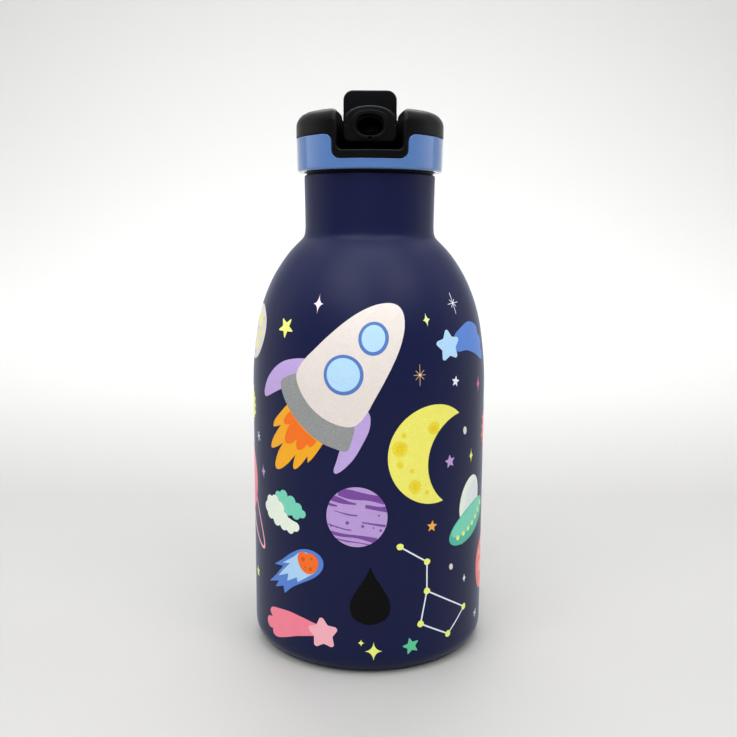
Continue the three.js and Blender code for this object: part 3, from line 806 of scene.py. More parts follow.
def spline(pts, step=0.4):
    """Closed smooth outline through the points; a third number of 1 makes that point a sharp corner."""
    P = [np.array(p[:2], float) for p in pts]
    hard = [len(p) > 2 and p[2] for p in pts]
    n, out = len(P), []
    for i in range(n):
        a, b = P[i], P[(i + 1) % n]
        z = 2 * a - b if hard[i] else P[i - 1]
        c = 2 * b - a if hard[(i + 1) % n] else P[(i + 2) % n]
        k = max(1, int(np.linalg.norm(b - a) / step))
        for j in range(k):
            t = j / k
            out.append(0.5 * (2 * a + (b - z) * t + (2 * z - 5 * a + 4 * b - c) * t * t + (3 * a - z - 3 * b + c) * t**3))
    return np.array(out)


def rounded(pts):
    q = arc_fillets([tuple(p) for p in pts] + [tuple(pts[0])], 0.25)
    return np.array([p[:2] for p in q[:-1]])


def disc(x, y, r, ry=None, tilt=0.0):
    n = max(14, int(2 * math.pi * r / 0.4))
    a = np.arange(n) * 2 * math.pi / n
    p = np.stack([r * np.cos(a), (ry or r) * np.sin(a)], 1)
    c, s = math.cos(tilt), math.sin(tilt)
    return p @ np.array([[c, s], [-s, c]]) + [x, y]


def star(r, inner=0.5, turn=0.0, tip=0.16, cx=0.0, cy=0.0, n=5, stretch=None):
    p = []
    for i in range(2 * n):
        a = math.pi / 2 + turn + i * math.pi / n
        k = r if i % 2 == 0 else r * inner
        if stretch is not None and i % 2 == 0:
            k *= stretch[(i // 2) % len(stretch)]
        p.append((cx + k * math.cos(a), cy + k * math.sin(a), (tip if i % 2 == 0 else tip * 0.5) * r))
    return rounded(p)


def sparkle(w, h, cx=0.0, cy=0.0, core=0.13, turn=0.0):
    tips = [(w, 0), (0, h), (-w, 0), (0, -h)]
    out = []
    for (x0, y0), (x1, y1) in zip(tips, tips[1:] + tips[:1]):
        qx, qy = core * (x0 + x1), core * (y0 + y1)
        for j in range(7):
            t = j / 7
            out.append(((1 - t) ** 2 * x0 + 2 * t * (1 - t) * qx + t * t * x1, (1 - t) ** 2 * y0 + 2 * t * (1 - t) * qy + t * t * y1))
    p = np.array(out)
    c, s = math.cos(turn), math.sin(turn)
    return p @ np.array([[c, s], [-s, c]]) + [cx, cy]


def rays(lengths, width, core, turn=0.0, cx=0.0, cy=0.0):
    n, out = len(lengths), []
    for i, l in enumerate(lengths):
        a = turn + i * 2 * math.pi / n
        u, w = np.array([math.cos(a), math.sin(a)]), np.array([-math.sin(a), math.cos(a)])
        m = a + math.pi / n
        out += [u * l - w * width / 3, u * l + w * width / 3, np.array([math.cos(m), math.sin(m)]) * core]
    return np.array(out) + [cx, cy]


def strip(a, b, w):
    a, b = np.array(a, float), np.array(b, float)
    d = (b - a) / np.linalg.norm(b - a)
    q = np.array([-d[1], d[0]]) * w / 2
    return np.array([a - q, b - q, b + q, a + q])


def puffs(circles, cx, cy, step=0.3):
    """Outline of overlapping discs, as seen from a point inside all of it."""
    out = []
    for a in np.arange(0, 2 * math.pi, 0.035):
        u = np.array([math.cos(a), math.sin(a)])
        best = 0.2
        for x, y, r in circles:
            o = np.array([x - cx, y - cy])
            b = float(o @ u)
            disc2 = b * b - float(o @ o) + r * r
            if disc2 >= 0:
                best = max(best, b + math.sqrt(disc2))
        out.append((cx + best * u[0], cy + best * u[1]))
    return np.array(out)


def crescent(c1, r1, c2, r2):
    c1, c2 = np.array(c1, float), np.array(c2, float)
    d = np.linalg.norm(c2 - c1)
    a = (d * d + r1 * r1 - r2 * r2) / (2 * d)
    h = math.sqrt(max(r1 * r1 - a * a, 1e-6))
    e = (c2 - c1) / d
    w = np.array([-e[1], e[0]])
    A, B = c1 + e * a + w * h, c1 + e * a - w * h
    ang = lambda c, p: math.atan2(p[1] - c[1], p[0] - c[0])
    a0, a1 = ang(c1, A), ang(c1, B)
    if a1 < a0:
        a1 += 2 * math.pi
    n1 = int((a1 - a0) * r1 / 0.45)
    outer = [c1 + r1 * np.array([math.cos(t), math.sin(t)]) for t in np.linspace(a0, a1, n1)]
    b0, b1 = ang(c2, B), ang(c2, A)
    if b0 < b1:
        b0 += 2 * math.pi
    n2 = int((b0 - b1) * r2 / 0.45)
    inner = [c2 + r2 * np.array([math.cos(t), math.sin(t)]) for t in np.linspace(b0, b1, n2)]
    return np.array(outer + inner[1:-1])


def band(r, lower, upper, tilt=0.0, x0=-1.0, x1=1.0):
    """A stripe across a disc: lower(x) and upper(x) in radii, clipped to the disc."""
    xs = np.linspace(x0 * r, x1 * r, 44)
    edge = np.sqrt(np.maximum(r * r - xs * xs, 0)) * 0.999
    lo = np.clip(np.array([lower(x / r) * r for x in xs]), -edge, edge)
    hi = np.clip(np.array([upper(x / r) * r for x in xs]), -edge, edge)
    ok = hi - lo > 0.02
    xs, lo, hi = xs[ok], lo[ok], hi[ok]
    p = np.concatenate([np.stack([xs, lo], 1), np.stack([xs, hi], 1)[::-1]])
    c, s = math.cos(tilt), math.sin(tilt)
    return p @ np.array([[c, s], [-s, c]])


def inside(poly, q):
    x, y = q[:, 0], q[:, 1]
    r = np.zeros(len(q), bool)
    for (x0, y0), (x1, y1) in zip(poly, np.roll(poly, -1, 0)):
        if y0 == y1:
            continue
        hit = ((y0 > y) != (y1 > y)) & (x < (x1 - x0) * (y - y0) / (y1 - y0) + x0)
        r ^= hit
    return r


def edge_gap(poly, q):
    d = np.full(len(q), 1e9)
    for a, b in zip(poly, np.roll(poly, -1, 0)):
        e = b - a
        t = np.clip(((q - a) @ e) / max(float(e @ e), 1e-12), 0, 1)
        d = np.minimum(d, np.linalg.norm(q - (a + t[:, None] * e), axis=1))
    return d


def resample(p, most=0.7):
    out = []
    for a, b in zip(p, np.roll(p, -1, 0)):
        l = np.linalg.norm(b - a)
        if l < 1e-4:
            continue
        k = max(1, int(math.ceil(l / most)))
        out += [a + (b - a) * j / k for j in range(k)]
    return np.array(out)


def flat_mesh(loops, grid=1.15):
    loops = [resample(np.asarray(l, float)) for l in loops]
    pts = np.concatenate(loops)
    edges, k = [], 0
    for l in loops:
        edges += [(k + i, k + (i + 1) % len(l)) for i in range(len(l))]
        k += len(l)
    lo, hi = loops[0].min(0), loops[0].max(0)
    if min(hi - lo) > 1.6:
        gx, gy = np.arange(lo[0], hi[0], grid), np.arange(lo[1], hi[1], grid * 0.87)
        G = np.array([(x + (0.5 * grid if j % 2 else 0), y) for j, y in enumerate(gy) for x in gx])
        ok = inside(loops[0], G) & (edge_gap(loops[0], G) > 0.5)
        for l in loops[1:]:
            ok &= ~inside(l, G) & (edge_gap(l, G) > 0.5)
        pts = np.concatenate([pts, G[ok]])
    res = delaunay_2d_cdt([Vector(p) for p in pts], edges, [], 0, 1e-5, False)
    v = np.array([tuple(p) for p in res[0]])
    f = np.array([t for t in res[2] if len(t) == 3])
    mid = v[f].mean(1)
    keep = inside(loops[0], mid)
    for l in loops[1:]:
        keep &= ~inside(l, mid)
    f = f[keep]
    if not len(f):
        return v, f
    a, b, c = v[f[:, 0]], v[f[:, 1]], v[f[:, 2]]
    turn = (b[:, 0] - a[:, 0]) * (c[:, 1] - a[:, 1]) - (b[:, 1] - a[:, 1]) * (c[:, 0] - a[:, 0])
    f = f[np.abs(turn) > 1e-9]
    turn = turn[np.abs(turn) > 1e-9]
    f[turn < 0] = f[turn < 0][:, ::-1]
    return v, f


def boundary(f):
    seen = {}
    for t in f:
        for i in range(3):
            e = (int(t[i]), int(t[(i + 1) % 3]))
            seen[e] = seen.get(e, 0) + 1
    return [e for e in seen if (e[1], e[0]) not in seen]


class Motif:
    """One printed drawing: plates of ink, each a closed solid a few hundredths of a millimetre thick."""

    def __init__(self, name, phi=0.0, s=0.0, scale=1.0, turn=0.0, flip=False):
        self.name = name
        self.v, self.f, self.m, self.mats, self.n = [], [], [], [], 0
        self.at(phi, s, scale, turn, flip)

    def at(self, phi, s, scale=1.0, turn=0.0, flip=False):
        phi = math.radians(phi)
        if abs(phi) < 1.3:
            phi = math.asin(0.989 * math.sin(phi))
        self.phi, self.s, self.scale, self.turn, self.flip = phi, s, scale, math.radians(turn), flip
        return self

    def add(self, ink, outline, layer=0, holes=()):
        loops = []
        for l in [outline, *holes]:
            p = np.asarray(l, float) * self.scale
            if self.flip:
                p = p * [-1, 1]
            c, s = math.cos(self.turn), math.sin(self.turn)
            loops.append(p @ np.array([[c, s], [-s, c]]))
        v, f = flat_mesh(loops)
        if not len(f):
            return self
        used, f = np.unique(f, return_inverse=True)
        v, f = v[used], f.reshape(-1, 3)
        arc = self.s + v[:, 1]
        r = np.interp(arc, _s, WALL[:, 0])
        phi = self.phi + v[:, 0] / r
        top, low = on_wall(phi, arc, LAYER[layer]), on_wall(phi, arc, LAYER[layer] - 0.045)
        n = len(v)
        side = []
        for a, b in boundary(f):
            side += [(a, a + n, b + n), (a, b + n, b)]
        faces = np.concatenate([f, f[:, ::-1] + n, np.array(side)]) + self.n
        # the wall map keeps x and y right-handed as seen from outside, so the faces already point outwards
        if ink not in self.mats:
            self.mats.append(ink)
        self.v += [top, low]
        self.f.append(faces)
        self.m += [self.mats.index(ink)] * len(faces)
        self.n += 2 * n
        return self

    def build(self):
        make(self.name, np.concatenate(self.v), np.concatenate(self.f), [INK[k] for k in self.mats], "bottle", smooth=False, face_mats=self.m)


def rocket(m, body="cream", fin="lilac", rim="glass_rim", glass="glass", skirt="grey", fire="amber", heart="flame"):
    th = math.radians(52.54)
    base, u, w = np.array([-6.36, -7.6]), np.array([math.cos(th), math.sin(th)]), np.array([math.sin(th), -math.cos(th)])
    def L(pts):
        return [tuple(base + p[0] * u + p[1] * w) + tuple(p[2:]) for p in pts]
    m.add(fire, spline(L([(-7.5, -8.2, 1), (-10.9, -8.9), (-14.4, -9.5), (-17.4, -9.9), (-19.3, -9.3), (-18.3, -8.2), (-16.4, -6.9, 1), (-20.2, -7.2), (-23.9, -7.0), (-25.3, -6.0), (-23.2, -4.4), (-20.0, -3.0, 1), (-24, -2.9), (-27.6, -1.9), (-28.6, -0.6), (-27.2, 0.9), (-23.6, 2.1), (-19.2, 2.7, 1), (-21.3, 3.4), (-22.9, 4.4), (-22.6, 5.3), (-20, 5.9), (-16.4, 6.0, 1), (-18.0, 7.2, 1), (-15.9, 7.6), (-12.4, 7.6), (-8.4, 7.4, 1)])), 0)
    m.add(heart, spline(L([(-10.25, -6.6, 1), (-11.6, -6.9), (-14.0, -7.0), (-14.9, -6.0), (-13.6, -4.4, 1), (-16.6, -4.0), (-18.8, -3.0), (-18.9, -1.6), (-17.2, -0.3), (-15.2, 0.2, 1), (-16.8, 1.2), (-17.4, 2.4), (-16.0, 3.5), (-13.6, 3.9, 1), (-13.9, 4.9), (-12.6, 5.5), (-10.75, 5.5, 1), (-11.05, 0.8), (-10.8, -3.0)])), 1)
    m.add(fin, spline(L([(6.0, -10.6, 1), (5.8, -11.6), (3.4, -14.4), (-0.3, -17.4), (-4.6, -19.3), (-9.7, -20.2), (-13.9, -19.6), (-15.4, -18.4), (-14.6, -17.2), (-11.5, -15.4), (-8.2, -13.6), (-4.0, -11.0, 1), (0.0, -10.0)])), 0)
    m.add(fin, spline(L([(6.0, 11.0, 1), (5.6, 12.3), (4.5, 13.8), (1.6, 15.5), (-2.8, 16.5), (-7.6, 17.1), (-11.9, 16.7), (-14.4, 15.8), (-14.2, 14.7), (-11.8, 13.8), (-8.3, 12.5), (-4.0, 11.0, 1), (0.0, 10.4)])), 0)
    m.add(skirt, spline(L([(2.6, -9.0, 1), (-0.2, -11.9), (-2.6, -13.5), (-4.6, -14.5), (-6.0, -14.7), (-7.2, -13.7), (-8.3, -11.9), (-9.4, -9.2), (-10.4, -4.9), (-10.8, 1.2), (-10.2, 7.0), (-8.6, 11.6), (-7.7, 13.6), (-6.6, 14.3), (-4.8, 13.8), (-1.0, 12.2), (2.6, 9.4, 1), (-1.0, 5.0), (-1.6, 0.0), (-1.0, -5.0)])), 1)
    right = [(2.2, 12.0), (6, 11.9), (9.6, 11.3), (13.6, 10.7), (18, 9.9), (22.5, 8.9), (26.5, 7.6), (29.9, 5.9), (32.3, 4.0), (33.8, 2.0)]
    hull = [(-4.3, 0), (-3.9, 4.0), (-2.6, 8.0), (-0.6, 11.0)] + right + [(34.3, 0.0)] + [(a, -t) for a, t in reversed(right)] + [(-0.6, -11.0), (-2.6, -8.0), (-3.9, -4.0)]
    m.add(body, spline(L(hull), 0.6), 2)
    for a, t, r, ry in ((9.6, 0.0, 5.8, 5.75), (22.9, 0.3, 4.3, 4.8)):
        c = base + a * u + t * w
        m.add(rim, disc(*c, r, ry), 3)
        m.add(glass, disc(c[0] - 0.06, c[1] + 0.08, r - 0.98, ry - 0.98), 4)
    return m


def moon(m, main="moon", spot="crater"):
    m.add(main, crescent((5.65, -1.2), 14.7, (17.66, -4.14), 14.3), 0)
    for x, y, r in ((5.3, 6.6, 2.0), (-5.6, 1.3, 2.3), (-5.5, -3.4, 1.0), (-0.8, -10.2, 2.0), (-4.4, 5.2, 0.8), (-1.8, -5.4, 0.75), (3.2, -12.3, 0.7)):
        m.add(spot, spline([(x + r * (1 + 0.06 * math.sin(3 * a + x)) * math.cos(a), y + r * (1 + 0.06 * math.cos(2 * a + y)) * math.sin(a)) for a in np.arange(10) * math.pi / 5], 0.3), 1)
    for x, y, r in ((-5.5, 1.4, 1.3), (5.3, 6.5, 1.05), (-0.7, -10.3, 1.0)):
        m.add("sunny" if main == "moon" else main, disc(x, y, r), 2)
    return m


def striped_planet(m, r=9.1, main="orchid", stripe="violet", tilt=-0.16):
    m.add(main, disc(0, 0, r, r * 0.995), 0)
    S = math.sin
    bands = [
        (lambda x: 0.58 + 0.03 * S(5 * x), lambda x: 0.84 - 0.02 * S(4 * x), -0.72, 1.0),
        (lambda x: 0.38 + 0.03 * S(4 * x + 1), lambda x: 0.56 - 0.1 * (x + 1) + 0.02 * S(6 * x), -1.0, -0.08),
        (lambda x: 0.36 - 0.05 * x, lambda x: 0.42 + 0.10 * x + 0.02 * S(7 * x), 0.22, 1.0),
        (lambda x: 0.21 + 0.02 * S(9 * x), lambda x: 0.28 - 0.05 * (x + 1), -1.0, -0.68),
        (lambda x: -0.17 + 0.01 * S(5 * x), lambda x: -0.12 + 0.02 * x, 0.2, 0.97),
        (lambda x: -0.72 + 0.03 * S(5 * x + 1), lambda x: -0.60 + 0.03 * S(3 * x), -0.85, 0.86),
        (lambda x: -0.86 + 0.02 * S(6 * x), lambda x: -0.82 + 0.01 * S(5 * x), -0.6, 0.6),
        (lambda x: -0.47 + 0.02 * S(5 * x), lambda x: -0.43 + 0.02 * S(5 * x), -0.88, -0.1),
        (lambda x: 0.03 + 0.02 * S(6 * x), lambda x: 0.08 + 0.02 * S(4 * x), -0.74, 0.02),
    ]
    for lo, hi, a, b in bands:
        m.add(stripe, band(r, lo, hi, tilt, a, b), 1)
    for x, y, q in ((0.72, 0.06, 0.035), (0.78, -0.44, 0.045), (-0.84, -0.33, 0.04), (-0.66, -0.36, 0.03), (0.2, -0.3, 0.05), (-0.3, -0.2, 0.06), (0.55, -0.35, 0.03)):
        m.add(stripe, disc(x * r, y * r, q * r), 1)
    return m


def comet(m, tail="cobalt", mid="sky", head="orange", pit="ember"):
    m.add(tail, spline([(5.4, 1.4), (4.0, 3.4), (1.0, 4.4), (-2.5, 3.9), (-6.2, 1.9), (-10.0, -1.0, 1), (-13.6, -3.2, 1), (-9.4, -2.8, 1), (-13.0, -6.6, 1), (-16.6, -9.6, 1), (-11.6, -8.0, 1), (-13.2, -10.4, 1), (-9.4, -9.0, 1), (-8.8, -11.2, 1), (-5.4, -8.4), (-1.6, -6.2), (2.6, -3.8), (5.0, -1.2)]), 0)
    m.add(mid, spline([(3.4, 1.0), (1.6, 3.0), (-2.0, 3.2), (-5.2, 1.0), (-9.6, -1.8, 1), (-6.4, -1.2, 1), (-9.8, -4.4, 1), (-11.6, -6.4, 1), (-7.2, -4.6, 1), (-7.6, -7.0, 1), (-3.8, -5.0, 1), (-3.4, -6.4, 1), (0.0, -4.2), (2.8, -2.0)]), 1)
    m.add(head, spline([(3.9, 0.9), (3.0, 2.6), (1.4, 3.4), (-0.2, 3.1), (-1.6, 3.5), (-3.1, 2.3), (-3.3, 0.4), (-2.2, -1.8), (-0.4, -3.0), (1.6, -2.9), (3.3, -1.4)]), 2)
    for x, y, r in ((-1.4, 1.2, 0.7), (1.2, -1.5, 0.6), (1.6, 1.7, 0.45), (-0.6, -1.2, 0.35)):
        m.add(pit, disc(x, y, r), 3)
    return m


def clouds(m, back="mint", front="cloud"):
    m.add(back, puffs([(-0.9, 5.0, 1.6), (1.5, 5.7, 1.7), (4.6, 4.4, 1.8), (7.2, 2.9, 1.6), (8.8, 1.4, 1.3), (6.6, 0.9, 1.6), (3.6, 2.4, 2.4), (1.2, 3.6, 2.2)], 3.4, 3.2), 0)
    m.add(front, puffs([(-5.3, 2.6, 1.8), (-2.6, 3.0, 2.0), (-6.6, 0.6, 1.7), (-0.4, 1.4, 2.1), (-5.0, -1.0, 1.9), (-2.6, -0.4, 2.6), (-1.6, -2.4, 1.9), (1.4, -1.4, 2.1), (1.6, -3.3, 1.7), (4.0, -2.6, 1.7), (6.3, -3.0, 1.5), (4.4, -4.2, 1.3)], -1.6, -0.6), 1)
    return m


def falling_star(m, tail="pink", body="blush", r=5.5, side=-1, turn=0.12):
    t = [(-1.0, 2.0), (-4.0, 3.0), (-7.5, 3.7), (-12.0, 4.2), (-17.0, 3.8), (-20.4, 3.1), (-21.6, 1.6), (-20.3, 0.0, 1), (-22.6, -0.5), (-23.5, -2.2), (-22.2, -3.8), (-20.2, -3.8, 1), (-19.8, -5.2), (-17.8, -5.7), (-14.2, -4.7), (-9.0, -2.8), (-3.4, -1.4), (-1.0, -1.0)]
    t = [(-side * p[0],) + tuple(p[1:]) for p in t]
    m.add(tail, spline(t), 0)
    m.add(body, star(r * 1.04, 0.55, turn, 0.15), 1)
    return m


def saucer(m):
    m.add("cloud", disc(2.7, 4.2, 5.9, 8.0, -0.36), 0)
    m.add("pearl", disc(3.5, 3.8, 4.1, 6.7, -0.36), 1)
    m.add("teal", disc(3.0, -2.2, 11.6, 4.9, 0.35), 2)
    m.add("mint", disc(2.6, -1.0, 10.2, 3.2, 0.35), 3)
    for k in (-3, -2, -1, 0, 1, 2, 3):
        c, s = math.cos(0.42), math.sin(0.42)
        x, y = k * 2.9, -2.2 + 0.12 * k * k
        m.add("lemon", disc(3.4 + x * c - y * s, -1.3 + x * s + y * c, 0.75), 4)
    m.add("teal", rounded([(-2.6, -6.6, 0.1), (-1.2, -6.2, 0.1), (-1.4, -8.4, 0.25), (-2.2, -8.5, 0.25)]), 1)
    return m


def ringed_planet(m, r=8.6, main="pink", ring="blush", stripe="rose", tilt=1.12, reach=1.85, rise=0.5, wide=0.17):
    outer, hole = disc(0, 0, r * reach, r * rise, tilt), disc(0, 0, r * (reach - wide), r * (rise - wide * 0.8), tilt)
    m.add(ring, outer, 0, [hole])
    m.add(main, disc(0, 0, r), 1)
    for lo, hi in ((0.3, 0.46), (0.02, 0.12), (-0.46, -0.3), (-0.72, -0.64)):
        m.add(stripe, band(r, lambda x: lo + 0.03 * math.sin(5 * x), lambda x: hi + 0.03 * math.sin(4 * x + 1), tilt), 2)
    a = np.linspace(math.pi, 2 * math.pi, 60)
    c, s = math.cos(tilt), math.sin(tilt)
    o = np.stack([r * reach * np.cos(a), r * rise * np.sin(a)], 1)
    i = np.stack([r * (reach - wide) * np.cos(a), r * (rise - wide * 0.8) * np.sin(a)], 1)[::-1]
    m.add(ring, np.concatenate([o, i]) @ np.array([[c, s], [-s, c]]), 3)
    return m


def burst(m, r=7.4, main="coral", core="orange"):
    m.add(main, star(r, 0.74, 0.1, 0.03, n=15, stretch=(1.0, 0.9, 1.08, 0.94)), 0)
    m.add(core, disc(0, 0, r * 0.58), 1)
    m.add(main, disc(0.2, 0.1, r * 0.42), 2)
    return m


def cratered(m, r=8.0, main="stone", spot="moon", ink="grey"):
    m.add(main, spline([(r * (1 + 0.012 * math.sin(5 * a) + 0.02 * math.sin(3 * a + 1)) * math.cos(a), r * (1 + 0.012 * math.sin(5 * a) + 0.02 * math.sin(3 * a + 1)) * math.sin(a)) for a in np.arange(22) * math.pi / 11], 0.5), 0)
    for x, y, q in ((0.3, 0.4, 0.2), (-0.35, -0.1, 0.24), (0.25, -0.45, 0.16), (-0.1, 0.68, 0.1), (0.62, -0.05, 0.12), (-0.45, 0.45, 0.12)):
        m.add(spot, disc(x * r, y * r, q * r), 1)
    for x, y, q in ((0.62, 0.5, 0.04), (-0.62, -0.5, 0.05), (0.0, -0.74, 0.05), (-0.02, 0.12, 0.05), (-0.72, 0.22, 0.035)):
        m.add(ink, disc(x * r, y * r, q * r, q * r * 1.7, 0.3), 2)
    return m


def build_print():
    out = []
    def new(name, phi, s, scale=1.0, turn=0.0, flip=False):
        m = Motif("print_" + name, phi, s, scale, turn, flip)
        out.append(m)
        return m

    rocket(new("rocket", -10.7, 89.9))
    moon(new("crescent_moon", 23.0, 67.3))
    striped_planet(new("striped_planet", -5.3, 48.7), 8.95)
    comet(new("comet", -29.6, 33.0))
    clouds(new("cloud_pair", -46.2, 46.5))
    falling_star(new("falling_star_pink", -21.4, 12.3), turn=0.1)
    t = new("falling_star_blue", 40.9, 97.4)
    t.add("cobalt", spline([(2.6, 2.4), (6.5, 5.0), (10.6, 6.3), (14.6, 5.6), (17.4, 4.0), (17.6, 2.2), (19.4, 1.2, 1), (20.4, -0.6), (19.8, -2.4, 1), (21.0, -4.4), (19.4, -6.0), (16.0, -4.6), (12.0, -3.0), (8.0, -2.0), (3.4, -1.8)]), 0)
    t.add("sky", star(5.5, 0.53, 0.1, 0.14), 1)
    saucer(new("saucer", 54.5, 44.6))
    burst(new("burst_coral", 84.0, 68.5, 1.05))
    burst(new("burst_yellow", -81.0, 76.4), 6.2, "lemon", "crater")
    ringed_planet(new("ringed_planet_pink", -87.0, 52.2), 11.0, "pink", "blush", "rose", -0.85, 2.36, 0.44, 0.09)
    cratered(new("cratered_planet_left", -76.0, 99.6), 8.6)
    cratered(new("coral_planet", 80.5, 25.0), 8.7, "coral", "blush", "rose")

    c = new("constellation", 31.5, 24.6)
    nodes = [(-10.6, 14.9), (-1.9, 9.3), (-1.8, 0.3), (-3.8, -9.6), (6.6, -15.2), (14.3, -8.9)]
    for i, j in ((0, 1), (1, 2), (2, 3), (3, 4), (4, 5), (5, 2)):
        a, b = np.array(nodes[i]), np.array(nodes[j])
        d = (b - a) / np.linalg.norm(b - a)
        nd = d * 0.6
        c.add("white", strip(a + nd, b - nd, 0.46), 0)
    for i, (x, y) in enumerate(nodes):
        c.add("lemon", spline([(x + (1.08 + 0.08 * math.sin(3 * a + i)) * math.cos(a), y + (1.02 + 0.06 * math.cos(2 * a + i)) * math.sin(a)) for a in np.arange(9) * 2 * math.pi / 9], 0.25), 1)

    # a plain drop in black gloss ink, at the foot of the front
    d = new("drop_symbol", 1.1, 25.0)
    drop = np.array(spline([(0, 10.2, 1), (1.7, 6.6), (4.2, 2.6), (6.4, -1.4), (6.9, -5.0), (5.2, -8.6), (0, -10.4), (-5.2, -8.6), (-6.9, -5.0), (-6.4, -1.4), (-4.2, 2.6), (-1.7, 6.6)]))
    d.add("gloss", drop * 0.86, 0)

    s = new("small_stars_front", 0, 0)
    s.at(-44.6, 102.4).add("lemon", star(3.5, 0.4, 0.62, 0.06))
    s.at(-26.4, 109.9).add("petal", sparkle(1.6, 2.9, core=0.075))
    s.at(28.9, 105.3).add("straw_yellow", sparkle(1.25, 2.0, turn=0.12, core=0.11))
    s.at(48.8, 109.7).add("white", rays([1.6, 2.4, 1.5, 3.2, 1.6, 2.4, 1.6, 3.3], 0.26, 0.26, turn=-0.68))
    s.at(23.7, 89.7).add("bronze", rays([1.8, 1.9, 3.0, 1.8, 1.9, 1.9, 3.1, 1.8], 0.26, 0.26)).add("stone", disc(0, 0, 0.42), 1)
    s.at(44.3, 86.8).add("white", star(1.75, 0.42, -0.2, 0.05))
    s.at(66.0, 84.4).add("rose", sparkle(1.3, 2.7))
    s.at(52.2, 71.4).add("stone", disc(0, 0, 0.9, 1.25, 0.2))
    s.at(43.3, 30.4).add("stone", disc(0, 0, 0.8, 1.0, 0.3))
    s.at(41.3, 63.1).add("orchid", star(2.15, 0.46, 0.12, 0.06))
    s.at(58.8, 62.9).add("lemon", sparkle(1.2, 2.2))
    s.at(31.0, 44.5).add("apricot", star(1.9, 0.42, -0.12, 0.05))
    s.at(-61.8, 57.2).add("orchid", sparkle(1.4, 2.2, turn=0.15))
    s.at(-68.2, 67.5).add("white", rays([1.4, 1.5, 1.6, 1.4, 1.5, 1.7], 0.4, 0.34, turn=0.3))
    s.at(-73.1, 22.9).add("lemon", star(1.9, 0.5, 0.2, 0.06))
    s.at(-3.0, 10.5).add("lemon", sparkle(0.9, 1.0, core=0.22))
    s.at(2.8, 7.9).add("lemon", sparkle(2.6, 2.9, core=0.1))
    s.at(20.7, 8.6).add("green", star(2.85, 0.47, 0.24, 0.06))
    s.at(54.2, 24.9).add("white", sparkle(0.9, 1.4, core=0.22))
    s.at(69.1, 10.3).add("white", rays([1.7, 1.3, 1.8, 1.2, 1.7, 1.3], 0.36, 0.3, turn=0.6))

    # round the sides and the back
    rocket(new("rocket_back", 168.0, 74.0, 0.78, 22.0, True), "pearl", "coral", "teal", "glass", "grey", "sunny", "orange")
    moon(new("crescent_moon_back", 212.0, 38.0, 0.74, 150.0), "moon", "crater")
    ringed_planet(new("ringed_planet_back", 226.0, 84.0, 0.86), 8.6, "mint", "lemon", "teal", 0.35)
    comet(new("comet_back", 128.0, 96.0, 0.95, 12.0), "cobalt", "sky", "coral", "rose")
    clouds(new("cloud_pair_back", 146.0, 36.0, 0.95, 0.0, True))
    striped_planet(new("striped_planet_back", 118.0, 57.0, 0.86), 9.1, "coral", "orange", 0.3)
    falling_star(new("falling_star_back", 176.0, 16.0, 0.95, 10.0), "mint", "lemon")
    falling_star(new("falling_star_side", 132.0, 13.0, 0.8, -8.0), "orchid", "stone")
    saucer(new("saucer_back", 247.0, 22.0, 0.8, 8.0, True))
    cratered(new("cratered_planet_back", 190.0, 99.0, 0.62), 8.6, "sky", "cobalt", "cobalt")
    c = new("constellation_back", 250.0, 107.0)
    nodes = [(-7.5, -3.0), (-3.0, 1.5), (2.5, 0.5), (7.0, 3.5), (3.4, -4.6)]
    for i, j in ((0, 1), (1, 2), (2, 3), (2, 4)):
        a, b = np.array(nodes[i]), np.array(nodes[j])
        nd = (b - a) / np.linalg.norm(b - a) * 0.6
        c.add("white", strip(a + nd, b - nd, 0.42), 0)
    for x, y in nodes:
        c.add("lemon", disc(x, y, 0.95), 1)

    taken = [(m.phi, m.s, 12.5 * m.scale) for m in out if abs(math.degrees(m.phi)) > 70 or math.degrees(m.phi) > 80]
    taken += [(math.radians(168), 58, 10), (math.radians(168), 92, 10)]
    rng = np.random.default_rng(11)
    spots = []
    for _ in range(900):
        phi, arc = math.radians(rng.uniform(84, 278)), rng.uniform(9, 116)
        r = float(np.interp(arc, _s, WALL[:, 0]))
        if all(math.hypot(((phi - p + math.pi) % (2 * math.pi) - math.pi) * r, arc - a) > g + 2.6 for p, a, g in taken) and all(math.hypot((phi - p) * r, arc - a) > 9.0 for p, a in spots):
            spots.append((phi, arc))
    bs = new("small_stars_back", 0, 0)
    kinds = ["star", "sparkle", "rays", "dot", "sparkle", "star"]
    tints = ["lemon", "blush", "white", "orchid", "green", "gold", "sky", "rose"]
    for i, (phi, arc) in enumerate(spots):
        bs.at(math.degrees(phi), arc, 1.0, float(rng.uniform(-20, 20)))
        ink, kind = tints[(i * 5) % 8], kinds[i % 6]
        k = float(rng.uniform(0.8, 1.2))
        if kind == "star":
            bs.add(ink, star(2.1 * k, 0.46, 0.0, 0.07))
        elif kind == "sparkle":
            bs.add(ink, sparkle(1.4 * k, 2.4 * k))
        elif kind == "rays":
            bs.add(ink, rays([1.6 * k, 1.7 * k, 2.7 * k, 1.6 * k, 1.7 * k, 1.6 * k, 2.6 * k, 1.7 * k], 0.36, 0.34))
        else:
            bs.add(ink, disc(0, 0, 0.9 * k, 1.15 * k))
    for m in out:
        m.build()


build_print()

# ---------------------------------------------------------------- floor and light
FRONT, BACK, TOP = 0.12, 1.35, 0.3


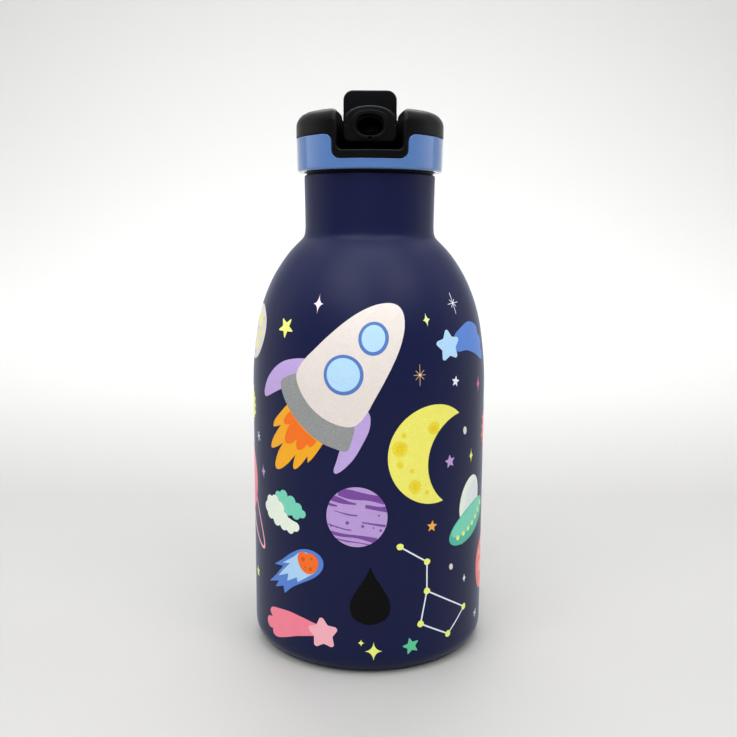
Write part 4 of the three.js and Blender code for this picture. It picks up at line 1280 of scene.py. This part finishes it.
def build_stage():
    # a pale floor that rises into a backdrop far behind, in one smooth sheet
    prof = [(-1500, 0.0), (420, 0.0)]
    prof += [(420 + 400 * math.sin(a), 400 * (1 - math.cos(a))) for a in np.linspace(0.06, math.pi / 2, 24)]
    prof += [(820, 1300)]
    verts, faces = [], []
    for x in (-1600, 1600):
        verts += [(x, y, z) for y, z in prof]
    n = len(prof)
    for i in range(n - 1):
        faces.append((i, n + i, n + i + 1, i + 1))
    mesh = bpy.data.meshes.new("floor_sheet")
    mesh.from_pydata([tuple(c * MM for c in v) for v in verts], [], faces)
    for p in mesh.polygons:
        p.use_smooth = True
    m = Mat("pale_floor", Roughness=0.55)
    c = srgb(172, 170, 167)
    n1 = m.noise(3.0, 3.0)
    sep = m.node("ShaderNodeSeparateXYZ")
    m.link(m.coord.outputs["Object"], sep.inputs[0])
    near = m.ramp(n1, [(0.3, tint(c, 0.985)), (0.7, tint(c, 1.01))])
    # The far floor and the backdrop are painted lighter than the near floor: a painted brightening that stands in for
    # the lamp light that reaches them less.
    m.color(m.mix(m.map_range(sep.outputs[1], 0.15, 0.6, 0.0, 1.0), near, srgb(226, 225, 222)))
    m.rough(m.map_range(n1, 0.3, 0.7, 0.5, 0.62))
    mesh.materials.append(m.m)
    o = bpy.data.objects.new("floor_sheet", mesh)
    scene.collection.objects.link(o)

    world = bpy.data.worlds.new("studio")
    world.use_nodes = True
    t = world.node_tree
    bg = t.nodes["Background"]
    co, sep = t.nodes.new("ShaderNodeTexCoord"), t.nodes.new("ShaderNodeSeparateXYZ")
    t.links.new(co.outputs["Generated"], sep.inputs[0])
    def mr(sock, a, b, c, d):
        n = t.nodes.new("ShaderNodeMapRange")
        n.interpolation_type = "SMOOTHSTEP"
        t.links.new(sock, n.inputs["Value"])
        for k, v in zip(("From Min", "From Max", "To Min", "To Max"), (a, b, c, d)):
            n.inputs[k].default_value = v
        return n.outputs["Result"]
    def add(p, q, op="ADD"):
        n = t.nodes.new("ShaderNodeMath")
        n.operation = op
        t.links.new(p, n.inputs[0])
        t.links.new(q, n.inputs[1])
        return n.outputs[0]
    level = add(mr(sep.outputs[1], -0.55, 0.45, FRONT, BACK), mr(sep.outputs[2], 0.1, 0.95, 0.0, TOP))
    path = t.nodes.new("ShaderNodeLightPath")
    mixer = t.nodes.new("ShaderNodeMix")
    t.links.new(path.outputs["Is Camera Ray"], mixer.inputs[0])
    t.links.new(level, mixer.inputs[2])
    mixer.inputs[3].default_value = 0.86
    t.links.new(mixer.outputs[0], bg.inputs["Strength"])
    bg.inputs["Color"].default_value = (0.965, 0.98, 1.0, 1)
    scene.world = world

    def area(name, loc, target, size, power, color=(1, 1, 1)):
        d = bpy.data.lights.new(name, "AREA")
        d.shape = "RECTANGLE"
        d.size, d.size_y = size
        d.energy = power
        d.color = color
        o = bpy.data.objects.new(name, d)
        scene.collection.objects.link(o)
        loc, target = Vector(loc), Vector(target)
        o.matrix_world = Matrix.Translation(loc) @ (target - loc).to_track_quat("-Z", "Y").to_matrix().to_4x4()
        return o

    area("key_left", (-0.42, -0.62, 0.98), (0, 0, 0.09), (0.7, 0.5), 6.1, (1.0, 0.985, 0.96))
    area("key_right", (0.5, -0.55, 0.92), (0, 0, 0.09), (0.55, 0.5), 4.3, (1.0, 0.985, 0.96))
    area("window", (-0.14, -0.95, 0.72), (0, 0, 0.12), (0.16, 0.34), 2.0, (0.66, 0.8, 1.0))
    area("top", (0.0, -0.12, 1.0), (0, 0, 0.1), (0.6, 0.4), 3.6, (0.86, 0.92, 1.0))
    area("back", (0.0, 0.75, 0.85), (0, 0, 0.1), (0.9, 0.4), 6.0)


build_stage()
scene.view_settings.view_transform = "Standard"
scene.view_settings.look = "None"
